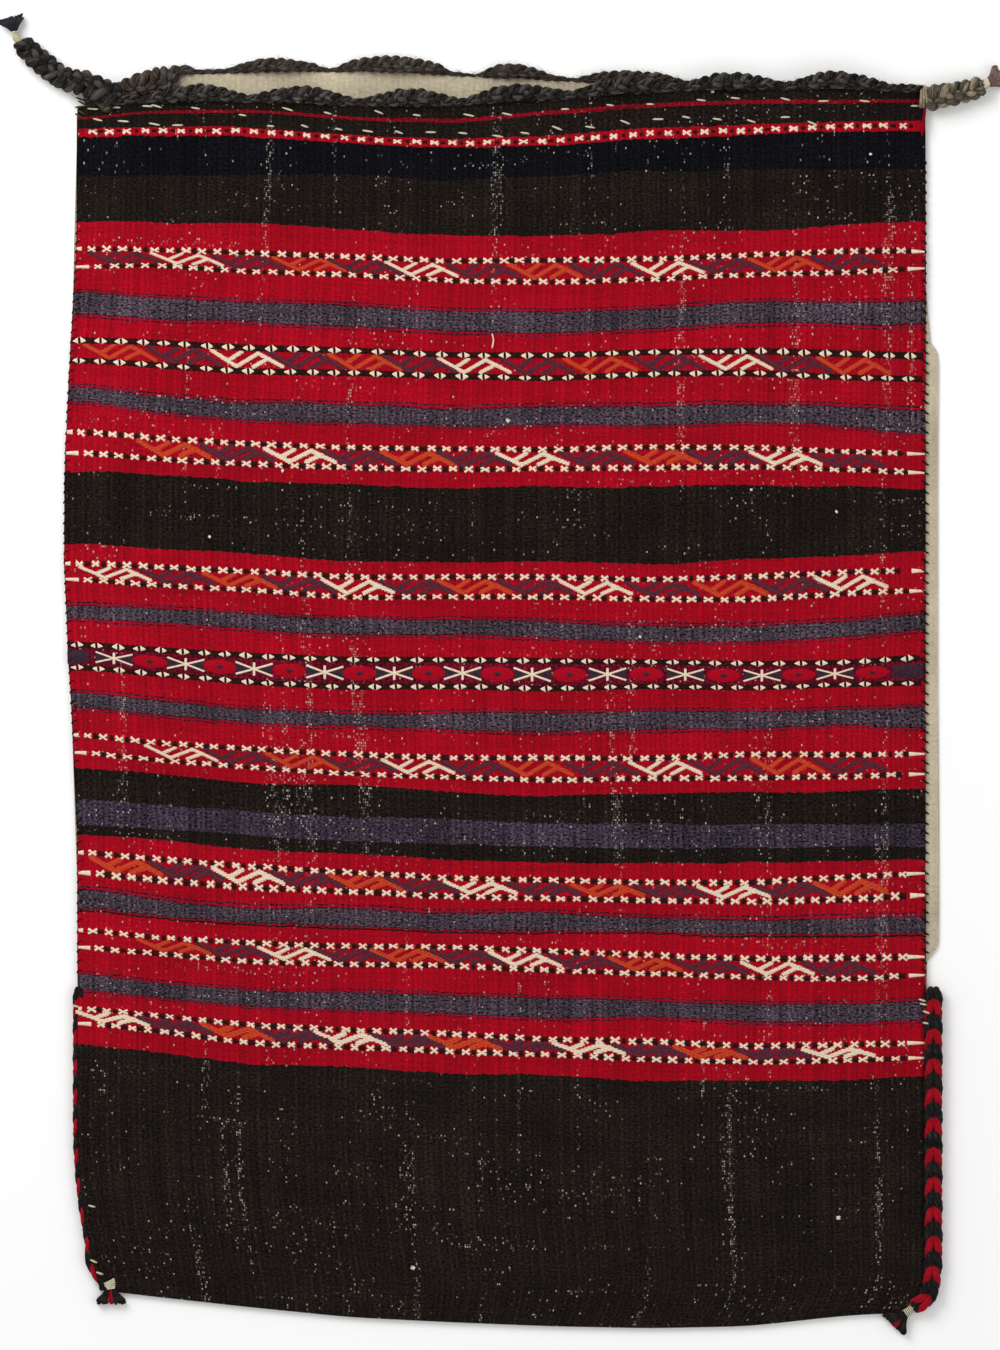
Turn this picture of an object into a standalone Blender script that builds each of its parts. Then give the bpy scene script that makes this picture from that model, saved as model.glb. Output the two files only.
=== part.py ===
"""A woven wool grain sack, empty and lying flat on its back with the patterned face up.

One long cloth is folded at the bottom and sewn up both sides, so it is one closed sheet with an open
mouth. Plaited cords edge the mouth and the lower sides, and their ends are bound into tufts.
x runs across the sack, y from the fold to the mouth, and z up from the floor.
"""

import math

import bmesh
import bpy
from mathutils import Vector

# Cloth, in metres.
CLOTH = 0.003            # thickness of the plain weave
RELIEF = 0.0009          # how far a brocaded row stands above it
STRIPE_RISE = 0.5        # share of that relief on a plain coloured stripe
CLEARANCE = 0.0003       # between pieces that touch
SEAM_GAP = 0.0012        # between front and back where they are sewn or folded
HOLLOW = 0.012           # between front and back inside the sack
SIDE_SLOPE = 0.052       # width over which the front rises from a side seam
FOLD_SLOPE = 0.070       # length over which it rises from the fold

# Outline of the front, seen from above.
LEFT_SIDE = 0.3575       # middle of the sack to the left seam
RIGHT_SIDE = 0.3635      # middle of the sack to the right seam
FRONT_LENGTH = 1.032     # fold to mouth on the patterned side
BACK_LENGTH = 1.063      # fold to mouth on the plain side
LEFT_BELLY = 0.0115      # bulge of the left side
BELLY_MIDDLE = 0.68      # its place above the fold
BELLY_REACH = 0.30       # how far it goes up and down
LEFT_PULL = 0.031        # how far the left side draws in towards the fold
LEFT_PULL_REACH = 0.25
RIGHT_PULL = 0.030       # the same at the right corner
RIGHT_PULL_REACH = 0.045
BACK_SHOWS = 0.011       # strip of plain back beside the right seam
STRIP_LOW = 0.30         # where that strip begins above the fold
STRIP_HIGH = 0.84        # where it ends
STRIP_FADE = 0.040       # over how much length it comes and goes
BACK_ROWS = 24           # rows of faces down the plain back
FOLD_STEPS = 4           # rows of faces round the fold
DARK_BACK_ROWS = 2       # rows above the fold where the back is still dark

# The rows of weft climb towards both sides: (distance from the mouth, climb at the left, at the right).
CLIMB = ((0.0, 0.006, 0.004), (0.40, 0.015, 0.009), (0.83, 0.028, 0.002), (1.032, 0.030, 0.016))
LEFT_CLIMB_POWER = 1.2   # 1 is a straight climb from the middle to the left side
RIGHT_CLIMB_POWER = 1.5
RIGHT_CLIMB_START = 0.6  # share of the width where the climb to the right begins
MOUTH_WAVE = 0.011       # the right half of the mouth lies this much higher
MOUTH_WAVE_START = 0.47  # share of the width where it begins to rise
MOUTH_WAVE_SPAN = 0.22   # share over which it rises
MOUTH_WAVE_REACH = 0.150 # and the rows below it follow down to here

# Woven fields.
RIB_PITCH = 0.042        # coarse weft ribs on the dark fields
STITCH_ROW = 0.0068      # a row of small crosses along a motif band
MOTIF_BAND = 0.0255
STAR_BAND = 0.0315
BLUE_STRIPE = 0.0138
STRIPE_LIP = 0.002       # slope at the edge of a stripe
ZIGZAG_HALF = 0.0300     # width of one arm of the zigzag motif
ZIGZAG_SWING = 0.0042    # how far the zigzag goes up and down

# The fields from the mouth down: colour, height, kind. The last dark field takes up the rest.
FIELDS = (
    ("black", 0.0070, "plain"), ("red", 0.0034, "ridge"), ("black", 0.0130, "plain"),
    ("red", 0.0110, "ridge"), ("navy", 0.0280, "plain"), ("black", 0.0470, "ribs"),
    ("red", 0.0170, "plain"), ("red", MOTIF_BAND, "motif"), ("red", 0.0240, "plain"),
    ("blue", BLUE_STRIPE, "stripe"), ("red", 0.0170, "plain"), ("red", MOTIF_BAND, "motif"),
    ("red", 0.0240, "plain"), ("blue", BLUE_STRIPE, "stripe"), ("red", 0.0170, "plain"),
    ("red", MOTIF_BAND, "motif"), ("red", 0.0110, "plain"), ("black", 0.0630, "ribs"),
    ("red", 0.0085, "plain"), ("red", MOTIF_BAND, "motif"), ("red", 0.0170, "plain"),
    ("blue", BLUE_STRIPE, "stripe"), ("red", 0.0150, "plain"), ("red", STAR_BAND, "star"),
    ("red", 0.0185, "plain"), ("blue", BLUE_STRIPE, "stripe"), ("red", 0.0190, "plain"),
    ("red", MOTIF_BAND, "motif"), ("red", 0.0095, "plain"), ("black", 0.0220, "plain"),
    ("slate", 0.0210, "stripe"), ("black", 0.0135, "plain"), ("red", 0.0110, "plain"),
    ("red", MOTIF_BAND, "motif"), ("red", 0.0100, "plain"), ("blue", BLUE_STRIPE, "stripe"),
    ("red", 0.0110, "plain"), ("red", MOTIF_BAND, "motif"), ("red", 0.0200, "plain"),
    ("blue", BLUE_STRIPE, "stripe"), ("red", 0.0130, "plain"), ("red", MOTIF_BAND, "motif"),
    ("red", 0.0130, "plain"),
)

# Plaited cords.
MOUTH_BRAID = 0.0075     # radius of the cord along the mouth
SCALLOP = 0.0110         # height of its loops
PINCH = 0.20             # share by which it narrows between loops
SCALLOP_PITCH = 0.091
SCALLOP_POWER = 1.5      # over 1, the valleys are wider than the loops
FRONT_VALLEY = -0.302    # where a valley of the front cord lies
BACK_VALLEY = -0.320
FRONT_BRAID_INSET = 0.0075               # from the right side to the front cord's end
BACK_BRAID_INSETS = (0.019, 0.0285)      # from the sides to the back cord's ends, left and right
LEFT_BRAID = 0.0045      # radius of the cord sewn to the lower left side
RIGHT_BRAID = 0.00725
SIDE_BRAID_TOP = 0.285   # height above the fold where the side cords begin
CORNER_TURN = 0.011      # height over which they turn in at the corner
CORNER_ARC = 0.8         # radians of the turn round the corner
PLAIT_STEP = 0.0085      # half a turn of the plait
PLAIT_SWAY = 0.0009      # sideways swing of a thick plait
PLAIT_SIDES = 1          # bevel resolution of the plaits, which gives six sides
CURVE_SAMPLES = 12       # per stretch of a smooth route, before it is spaced evenly
TAIL = 0.0095            # radius of a corner tail
TAIL_ON_CLOTH = 0.016    # how far inside the left corner its tail begins
NECK = 0.0032            # radius where a tail or tassel is bound
TUFT = 0.0068            # radius of the loose end beyond it
TUFT_SPREAD = (0.55, 0.9)                # share of its length where it has this share of that radius
TIE_WIRE = 0.0014        # half the thickness of the binding
TIE_HOLD = 0.0021        # half the length of the neck
LEFT_TASSEL = (0.008, -0.012, 0.001)     # from its binding to its end
RIGHT_TASSEL = (-0.016, -0.010, 0.000)

# Seam thread.
THREAD = 0.0007          # radius
STITCH_PITCH = 0.028
SEAM_TOP = 0.990         # where the sewing ends near the mouth

COLOURS = {
    "red": (0.35, 0.006, 0.02), "black": (0.014, 0.010, 0.009), "navy": (0.007, 0.007, 0.013),
    "blue": (0.055, 0.050, 0.080), "slate": (0.040, 0.032, 0.045), "ivory": (0.52, 0.46, 0.33),
    "goat_hair": (0.018, 0.015, 0.014), "plait_red": (0.20, 0.008, 0.014),
}
ROUGHNESS = 0.9


def material(colour):
    """A matt wool of one named colour, made once."""
    found = bpy.data.materials.get(colour)
    if found:
        return found
    made = bpy.data.materials.new(colour)
    made.use_nodes = True
    shader = made.node_tree.nodes["Principled BSDF"]
    shader.inputs["Base Color"].default_value = (*COLOURS[colour], 1)
    shader.inputs["Roughness"].default_value = ROUGHNESS
    shader.inputs["Metallic"].default_value = 0
    return made


def clear_scene():
    for obj in list(bpy.data.objects):
        bpy.data.objects.remove(obj, do_unlink=True)


def between(low, high, share):
    return low + (high - low) * share


def smooth(share):
    """0 to 1 with level ends."""
    share = min(max(share, 0.0), 1.0)
    return share * share * (3 - 2 * share)


def climb(share, down):
    """How far the weft climbs at this share of the width and this distance from the mouth."""
    left, right = CLIMB[-1][1:]
    for (start, left_0, right_0), (end, left_1, right_1) in zip(CLIMB, CLIMB[1:]):
        if start <= down <= end:
            part = (down - start) / (end - start)
            left, right = between(left_0, left_1, part), between(right_0, right_1, part)
    at_left = max(0.0, 1 - 2 * share) ** LEFT_CLIMB_POWER
    at_right = max(0.0, (share - RIGHT_CLIMB_START) / (1 - RIGHT_CLIMB_START)) ** RIGHT_CLIMB_POWER
    rise = smooth((share - MOUTH_WAVE_START) / MOUTH_WAVE_SPAN)
    wave = MOUTH_WAVE * rise * max(0.0, 1 - down / MOUTH_WAVE_REACH)
    return left * at_left + right * at_right + wave


def front_y(share, down):
    return FRONT_LENGTH - down + climb(share, down)


def left_x(y):
    reach = abs(y - BELLY_MIDDLE) / BELLY_REACH
    belly = LEFT_BELLY * math.cos(math.pi / 2 * reach) ** 2 if reach < 1 else 0.0
    return -LEFT_SIDE - belly + LEFT_PULL * max(0.0, 1 - y / LEFT_PULL_REACH) ** 2


def right_x(y):
    return RIGHT_SIDE - RIGHT_PULL * max(0.0, 1 - y / RIGHT_PULL_REACH) ** 2


def back_right_x(y):
    """The back reaches past the front between STRIP_LOW and STRIP_HIGH."""
    shows = smooth((y - STRIP_LOW) / STRIP_FADE) * smooth((STRIP_HIGH - y) / STRIP_FADE)
    return right_x(y) + BACK_SHOWS * shows


def back_edge(side, y):
    """A side of the back as its rows of faces make it, straight from one row to the next."""
    edge_x = left_x if side < 0 else back_right_x
    fold = front_y(0 if side < 0 else 1, FRONT_LENGTH)
    pitch = (BACK_LENGTH - fold) / BACK_ROWS
    low = fold + pitch * min(int((y - fold) / pitch), BACK_ROWS - 1)
    return between(edge_x(low), edge_x(low + pitch), (y - low) / pitch)


def inner_z(from_side, from_fold):
    """Underside of the front at these distances from the nearer seam and from the fold."""
    rise = smooth(from_side / SIDE_SLOPE) * smooth(from_fold / FOLD_SLOPE)
    return CLOTH + between(SEAM_GAP, HOLLOW, rise)


def front_face(x, y):
    """Height of the front's plain face at this place, straight from one column of faces to the next."""
    from_side = min(x - left_x(y), right_x(y) - x)
    pitch = (LEFT_SIDE + RIGHT_SIDE) / column_count()
    near = pitch * math.floor(from_side / pitch)
    part = (from_side - near) / pitch
    return between(inner_z(near, y), inner_z(near + pitch, y), part) + CLOTH


def column_count():
    return max(4, round((LEFT_SIDE + RIGHT_SIDE) / ZIGZAG_HALF))


def seam_lip():
    """How far the front's face leans out past its seam line, because the cloth slopes there."""
    pitch = (LEFT_SIDE + RIGHT_SIDE) / column_count()
    slope = (HOLLOW - SEAM_GAP) * smooth(pitch / SIDE_SLOPE) / pitch
    return (CLOTH + RELIEF) * slope


def field_rows(kind, height):
    """The rows of one field as (distance below its top, relief, swing, star), the last edge left out."""
    edge = (0.0, 0.0, 0.0, False)
    if kind == "ridge":
        return [edge, (height / 2, 1.0, 0.0, False)]
    if kind == "stripe":
        return [edge, (STRIPE_LIP, STRIPE_RISE, 0.0, False), (height - STRIPE_LIP, STRIPE_RISE, 0.0, False)]
    if kind in ("motif", "star"):
        middle = (height / 2, 1.0, 0.0 if kind == "star" else ZIGZAG_SWING, kind == "star")
        return [
            edge, (STITCH_ROW / 2, 1.0, 0.0, False), (STITCH_ROW, 0.0, 0.0, False), middle,
            (height - STITCH_ROW, 0.0, 0.0, False), (height - STITCH_ROW / 2, 1.0, 0.0, False),
        ]
    if kind == "ribs":
        count = max(1, round(height / RIB_PITCH))
        pitch = height / count
        crests = [((k + 0.5) * pitch, STRIPE_RISE, 0.0, False) for k in range(count)]
        troughs = [(k * pitch, 0.0, 0.0, False) for k in range(count)]
        return sorted(crests + troughs)
    return [edge]


def front_rows():
    """Every row of the front from the mouth to the fold, and the colour of the strip below each."""
    rows, colours = [], []
    top = 0.0
    rest = FRONT_LENGTH - sum(height for _, height, _ in FIELDS)
    for colour, height, kind in (*FIELDS, ("black", rest, "ribs")):
        for down, relief, swing, star in field_rows(kind, height):
            rows.append((top + down, relief, swing, star))
            colours.append(colour)
        top += height
    rows.append((FRONT_LENGTH, 0.0, 0.0, False))
    return rows, colours


def front_point(share, row, parity):
    """A point of the underside of the front."""
    down, _, swing, _ = row
    y = front_y(share, down)
    x = between(left_x(front_y(0, down)), right_x(front_y(1, down)), share)
    from_side = min(x - left_x(front_y(0, down)), right_x(front_y(1, down)) - x)
    return Vector((x, y + swing * parity, inner_z(from_side, FRONT_LENGTH - down)))


def back_point(share, up):
    """A point of the upper side of the back, where up is the share of the way from fold to mouth."""
    y_left = between(front_y(0, FRONT_LENGTH), BACK_LENGTH, up)
    y_right = between(front_y(1, FRONT_LENGTH), BACK_LENGTH, up)
    y = between(front_y(share, FRONT_LENGTH), BACK_LENGTH, up)
    return Vector((between(left_x(y_left), back_right_x(y_right), share), y, CLOTH))


def sack_cloth(collection):
    """The inner surface as one grid bent round the fold, thickened outwards with the weave's relief."""
    rows, colours = front_rows()
    columns = column_count()
    last = len(rows) - 1
    count = last + FOLD_STEPS + BACK_ROWS
    grid = bmesh.new()
    bmesh.ops.create_grid(grid, x_segments=columns, y_segments=count, size=1)
    raised = {}
    for vertex in grid.verts:
        column = round((vertex.co.x + 1) / 2 * columns)
        row = count - round((vertex.co.y + 1) / 2 * count)
        share = column / columns
        inside = 0 < column < columns
        parity = (-1 if column % 2 else 1) if inside else 0
        if row <= last:
            vertex.co = front_point(share, rows[row], parity)
            down, relief, _, star = rows[row]
            raised[vertex.index] = 0.0 if star and parity < 0 else relief
        elif row < last + FOLD_STEPS:
            turn = math.pi * (row - last) / FOLD_STEPS
            edge = front_point(share, rows[last], 0)
            radius = SEAM_GAP / 2
            vertex.co = edge - Vector((0, radius * math.sin(turn), radius * (1 - math.cos(turn))))
        else:
            vertex.co = back_point(share, (row - last - FOLD_STEPS) / BACK_ROWS)
    mesh = bpy.data.meshes.new("sack_cloth")
    grid.to_mesh(mesh)
    grid.free()
    names = list(dict.fromkeys(colours)) + ["ivory"]
    for name in names:
        mesh.materials.append(material(name))
    for face in mesh.polygons:
        row = count - 1 - face.index // columns
        turned_up = "black" if row < last + FOLD_STEPS + DARK_BACK_ROWS else "ivory"
        colour = colours[row] if row < last else turned_up
        face.material_index = names.index(colour)
    cloth = bpy.data.objects.new("sack_cloth", mesh)
    collection.objects.link(cloth)
    group = cloth.vertex_groups.new(name="raised")
    for index, weight in raised.items():
        group.add([index], weight, "REPLACE")
    thick = cloth.modifiers.new("thickness", "SOLIDIFY")
    thick.thickness = CLOTH + RELIEF
    thick.offset = 1
    thick.vertex_group = "raised"
    thick.thickness_vertex_group = CLOTH / (CLOTH + RELIEF)
    return cloth


def smooth_route(points, step):
    """Points about a step apart on a smooth curve through the route's own points."""
    route = [Vector(point) for point in points]
    route = [2 * route[0] - route[1], *route, 2 * route[-1] - route[-2]]
    fine = []
    for a, b, c, d in zip(route, route[1:], route[2:], route[3:]):
        for k in range(CURVE_SAMPLES):
            t = k / CURVE_SAMPLES
            fine.append(0.5 * (2 * b + (c - a) * t + (2 * a - 5 * b + 4 * c - d) * t * t
                               + (3 * b - a - 3 * c + d) * t ** 3))
    fine.append(route[-2])
    lengths = [0.0]
    for a, b in zip(fine, fine[1:]):
        lengths.append(lengths[-1] + (b - a).length)
    count = max(2, round(lengths[-1] / step))
    spaced, at = [], 0
    for k in range(count + 1):
        wanted = lengths[-1] * k / count
        while at < len(fine) - 2 and lengths[at + 1] < wanted:
            at += 1
        part = (wanted - lengths[at]) / max(lengths[at + 1] - lengths[at], 1e-9)
        spaced.append(fine[at].lerp(fine[at + 1], min(part, 1.0)))
    return spaced


def tube(name, points, radii, colour, collection, resolution=PLAIT_SIDES):
    """A closed tube through the points, one radius for each."""
    curve = bpy.data.curves.new(name, "CURVE")
    curve.dimensions = "3D"
    curve.bevel_depth = max(radii)
    curve.bevel_resolution = resolution
    curve.use_fill_caps = True
    spline = curve.splines.new("POLY")
    spline.points.add(len(points) - 1)
    for place, point, radius in zip(spline.points, points, radii):
        place.co = (*point, 1)
        place.radius = radius / curve.bevel_depth
    curve.materials.append(material(colour))
    made = bpy.data.objects.new(name, curve)
    collection.objects.link(made)
    return made


def swung(points, sway):
    """The points moved to one side and the other in turn, as the half turns of a plait are."""
    moved = []
    for k, point in enumerate(points):
        ahead = points[min(k + 1, len(points) - 1)] - points[max(k - 1, 0)]
        side = Vector((-ahead.y, ahead.x, 0)).normalized()
        at_end = k in (0, len(points) - 1)
        moved.append(point + side * (0 if at_end else sway * (-1) ** k))
    return moved


def rest(radius):
    """Height of a six-sided tube's middle above what its flat lies on."""
    return radius * math.cos(math.pi / 6)


def loop(x, valley):
    """0 in a valley of the looped cord and 1 at the top of a loop."""
    return abs(math.sin(math.pi * (x - valley) / SCALLOP_PITCH)) ** SCALLOP_POWER


def across(start, end):
    """Places along the mouth from start to end, about a plait step apart."""
    count = round((end - start) / PLAIT_STEP)
    return [between(start, end, k / count) for k in range(count + 1)]


def front_mouth_braid(collection):
    """Lies on the front's edge, over the cloth at the valleys and past it at the loops."""
    lift = CLEARANCE + RELIEF
    points, radii = [], []
    for x in across(-LEFT_SIDE + TAIL_ON_CLOTH + TAIL / 2, RIGHT_SIDE - FRONT_BRAID_INSET):
        edge = front_y((x + LEFT_SIDE) / (LEFT_SIDE + RIGHT_SIDE), 0)
        up = loop(x, FRONT_VALLEY)
        radius = (MOUTH_BRAID - PLAIT_SWAY) * (1 - PINCH * (1 - up))
        points.append(Vector((x, edge + SCALLOP * up, front_face(x, edge) + lift + rest(radius))))
        radii.append(radius)
    points = swung(points, PLAIT_SWAY)
    return tube("front_mouth_braid", points, radii, "goat_hair", collection)


def back_mouth_braid(collection):
    """Lies on the floor along the back's edge, touching it at the valleys."""
    points, radii = [], []
    left_inset, right_inset = BACK_BRAID_INSETS
    for x in across(-LEFT_SIDE + left_inset, RIGHT_SIDE - right_inset):
        up = loop(x, BACK_VALLEY)
        radius = (MOUTH_BRAID - PLAIT_SWAY) * (1 - PINCH * (1 - up))
        at_cloth = radius / 2 + CLOTH / math.tan(math.pi / 3)
        y = BACK_LENGTH + CLEARANCE + PLAIT_SWAY + at_cloth + SCALLOP * up
        points.append(Vector((x, y, rest(radius))))
        radii.append(radius)
    points = swung(points, PLAIT_SWAY)
    return tube("back_mouth_braid", points, radii, "goat_hair", collection)


def side_braid(name, side, edge_x, radius, tassel, collection):
    """Sewn beside the lower seam and round the corner, bound there, and ending in a short tassel."""
    fold = front_y(0 if side < 0 else 1, FRONT_LENGTH)
    sway = min(PLAIT_SWAY, radius / 8)
    corner = Vector((edge_x(fold), fold, rest(radius)))
    off = CLEARANCE + seam_lip() + radius
    out = CLEARANCE + SEAM_GAP / 2 + CLOTH + RELIEF + radius
    low = fold + 2 * radius + CORNER_TURN
    heights = [between(SIDE_BRAID_TOP, low, k / 8) for k in range(9)]
    route = [(edge_x(y) + side * off, y, rest(radius)) for y in heights]
    for turn in (0.0, CORNER_ARC):
        route.append(corner + Vector((side * out * math.cos(turn), -out * math.sin(turn), 0)))
    points = swung(smooth_route(route, PLAIT_STEP), sway)
    radii = [radius - sway] * len(points)
    neck = corner + Vector((-side * radius / 2, -out, 0))
    neck.z = max(neck.z, tie_reach())
    return bound_end(name, points, radii, neck, neck + Vector(tassel), "plait_red", collection)


def tie_reach():
    """Outer radius of a binding."""
    return NECK + CLEARANCE + 2 * TIE_WIRE


def bound_end(name, points, radii, neck, tip, colour, collection):
    """Draws a cord in at its binding and lets it spread beyond, and gives the cord and its binding."""
    along = (tip - neck).normalized()
    spread_at, spread = TUFT_SPREAD
    points = [*points, neck - along * TIE_HOLD, neck + along * TIE_HOLD, neck.lerp(tip, spread_at), tip]
    radii = [*radii, NECK, NECK, TUFT * spread, TUFT]
    cord = tube(name, points, radii, colour, collection)
    return [cord, tie(name + "_tie", neck, along, collection)]


def tail(name, route, collection):
    """A thick corner plait, drawn in at its binding and spread beyond it."""
    *body, neck, tip = (Vector(point) for point in route)
    points = smooth_route(body, PLAIT_STEP)
    radii = [TAIL - (PLAIT_SWAY if k % 2 else 0) for k in range(len(points))]
    return bound_end(name, points, radii, neck, tip, "goat_hair", collection)


def left_tail(collection):
    """Leaves the mouth at the left corner, first over the cloth and then down to the floor."""
    corner = Vector((left_x(FRONT_LENGTH), front_y(0, 0), 0))
    over = corner + Vector((TAIL_ON_CLOTH, 0.004, 0))
    floor = rest(TAIL) + 2 * CLEARANCE
    seat = front_face(over.x, over.y) + CLEARANCE
    route = (
        over + Vector((0, 0, seat + floor)), corner + Vector((-0.004, 0.010, 0.007 + floor)),
        corner + Vector((-0.020, 0.020, 0.001 + floor)), corner + Vector((-0.036, 0.034, floor)),
        corner + Vector((-0.049, 0.048, floor)),
        corner + Vector((-0.0545, 0.060, floor)), corner + Vector((-0.058, 0.078, TUFT)),
    )
    return tail("left_tail", route, collection)


def right_tail(collection):
    """Leaves the mouth at the right corner, from beside the cloth's edge, and lies on the floor."""
    floor = rest(TAIL)
    corner = Vector((right_x(FRONT_LENGTH), front_y(1, 0), floor))
    start = corner + Vector((CLEARANCE + seam_lip(), -0.004, 0))
    route = (
        start, start + Vector((0.007, 0, 0)), corner + Vector((0.022, 0.003, 0)),
        corner + Vector((0.036, 0.010, 0)), corner + Vector((0.050, 0.0165, 0)),
        corner + Vector((0.060, 0.021, 0)), corner + Vector((0.073, 0.0265, TUFT - floor)),
    )
    return tail("right_tail", route, collection)


def tie(name, neck, along, collection):
    """A ring of wound thread round a neck."""
    bpy.ops.mesh.primitive_torus_add(
        major_radius=NECK + CLEARANCE + TIE_WIRE, minor_radius=TIE_WIRE,
        major_segments=14, minor_segments=6,
    )
    ring = bpy.context.object
    ring.name = name
    ring.data.name = name
    ring.location = neck
    ring.rotation_euler = along.to_track_quat("Z", "Y").to_euler()
    ring.data.materials.append(material("ivory"))
    for other in list(ring.users_collection):
        other.objects.unlink(ring)
    collection.objects.link(ring)
    return ring


def seam_thread(name, front_x, side, collection):
    """Overcast sewing seen along a seam: from the front's edge, over the back's, and back again."""
    off = CLEARANCE + seam_lip() + THREAD
    high = CLOTH + SEAM_GAP + CLOTH / 2
    over = CLOTH + 2 * CLEARANCE + THREAD
    low = CLOTH / 2
    start = SIDE_BRAID_TOP + off + RIGHT_BRAID
    count = round((SEAM_TOP - start) / STITCH_PITCH)
    points = []
    for k in range(count):
        y = start + k * STITCH_PITCH
        quarter = STITCH_PITCH / 4
        near = [front_x(y + n * quarter) + side * off for n in range(4)]
        far = [back_edge(side, y + n * quarter) for n in range(4)]
        wide = abs(far[1] - front_x(y + quarter)) > THREAD
        points.append(Vector((near[0], y, high)))
        if wide:
            points.append(Vector((far[1] + side * off / 2, y + quarter, over)))
        points.append(Vector((far[2] + side * off, y + 2 * quarter, low)))
        if wide:
            points.append(Vector((far[3] + side * off / 2, y + 3 * quarter, over)))
    return tube(name, points, [THREAD] * len(points), "black", collection, resolution=0)


def stand_on_origin(objects):
    """Moves everything so that the middle of the whole sack's underside is the origin."""
    bpy.context.view_layer.update()
    graph = bpy.context.evaluated_depsgraph_get()
    corners = []
    for obj in objects:
        evaluated = obj.evaluated_get(graph)
        mesh = evaluated.to_mesh()
        corners += [evaluated.matrix_world @ vertex.co for vertex in mesh.vertices]
        evaluated.to_mesh_clear()
    low = Vector(min(corner[axis] for corner in corners) for axis in range(3))
    high = Vector(max(corner[axis] for corner in corners) for axis in range(3))
    middle = Vector(((low.x + high.x) / 2, (low.y + high.y) / 2, low.z))
    for obj in objects:
        obj.location -= middle


def main():
    clear_scene()
    collection = bpy.data.collections.new("woven_sack")
    bpy.context.scene.collection.children.link(collection)
    parts = [
        sack_cloth(collection),
        front_mouth_braid(collection),
        back_mouth_braid(collection),
        seam_thread("left_seam_thread", left_x, -1, collection),
        seam_thread("right_seam_thread", right_x, 1, collection),
    ]
    parts += side_braid("left_side_braid", -1, left_x, LEFT_BRAID, LEFT_TASSEL, collection)
    parts += side_braid("right_side_braid", 1, right_x, RIGHT_BRAID, RIGHT_TASSEL, collection)
    parts += left_tail(collection)
    parts += right_tail(collection)
    stand_on_origin(parts)


main()
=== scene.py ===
"""Looks of the empty woven sack that lies on its back: cloth, brocade, plaits, ties and sewing.

Everything is worked out in the sack's own coordinates, in metres: x across from the middle of the sack,
y up from the fold, z up from the floor. Shell.build() moves it into the frame by SHIFT. Along the cloth, a
point is given by x and its depth, the distance below the mouth along the middle warp.
"""

import math

import bpy
import numpy as np
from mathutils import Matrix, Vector


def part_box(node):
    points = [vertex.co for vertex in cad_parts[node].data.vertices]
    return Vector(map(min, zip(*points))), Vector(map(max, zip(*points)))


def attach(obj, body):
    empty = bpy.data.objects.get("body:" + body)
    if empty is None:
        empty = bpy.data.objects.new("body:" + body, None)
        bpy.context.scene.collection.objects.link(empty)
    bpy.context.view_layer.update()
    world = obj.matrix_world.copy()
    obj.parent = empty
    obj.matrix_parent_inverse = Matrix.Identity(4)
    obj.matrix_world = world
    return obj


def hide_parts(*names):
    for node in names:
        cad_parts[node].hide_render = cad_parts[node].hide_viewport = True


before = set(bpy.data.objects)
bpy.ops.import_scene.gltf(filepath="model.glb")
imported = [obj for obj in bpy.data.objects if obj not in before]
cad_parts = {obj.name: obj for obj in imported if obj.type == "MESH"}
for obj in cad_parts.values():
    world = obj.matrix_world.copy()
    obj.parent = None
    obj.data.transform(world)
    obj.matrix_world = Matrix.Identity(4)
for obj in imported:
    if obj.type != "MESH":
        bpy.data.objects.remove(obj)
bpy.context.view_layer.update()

MM = 0.001

# Outline of the lying sack, in metres.
LEFT_SIDE = 0.3575
RIGHT_SIDE = 0.3635
BACK_LENGTH = 1.063
BACK_SHOWS = 0.011
CLOTH = 0.003
HOLLOW = 0.012
SIDE_SLOPE = 0.052
FOLD_SLOPE = 0.070
LEFT_BELLY = 0.0115
BELLY_MIDDLE = 0.68
BELLY_REACH = 0.30
LEFT_PULL = 0.027
LEFT_PULL_REACH = 0.17
RIGHT_PULL = 0.024
RIGHT_PULL_REACH = 0.042
CORD_LIFT = 0.0040       # how far the cord sewn under the lower left edge lifts the front there
CORD_WIDTH = 0.016
CORD_FADE = 0.020        # over what length that lift comes below the cord's top
CORD_FOOT = 0.050        # and goes above the fold
STRIP_LOW = 0.302
STRIP_HIGH = 0.84
STRIP_FADE = 0.018
BACK_CORNER = 0.024      # how far the back's mouth edge drops at its left corner
CORNER_REACH = 0.055
SIDE_BRAID_TOP = 0.285
SEAM_TOP = 0.990
EVEN_EDGE = 0.030        # the cloth lies evenly this near to its sides and the fold
UNEVEN = ((0.0011, 3, 0.16), (0.0004, 5, 0.05))  # height, seed and pitch of its unevenness inside them

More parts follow.
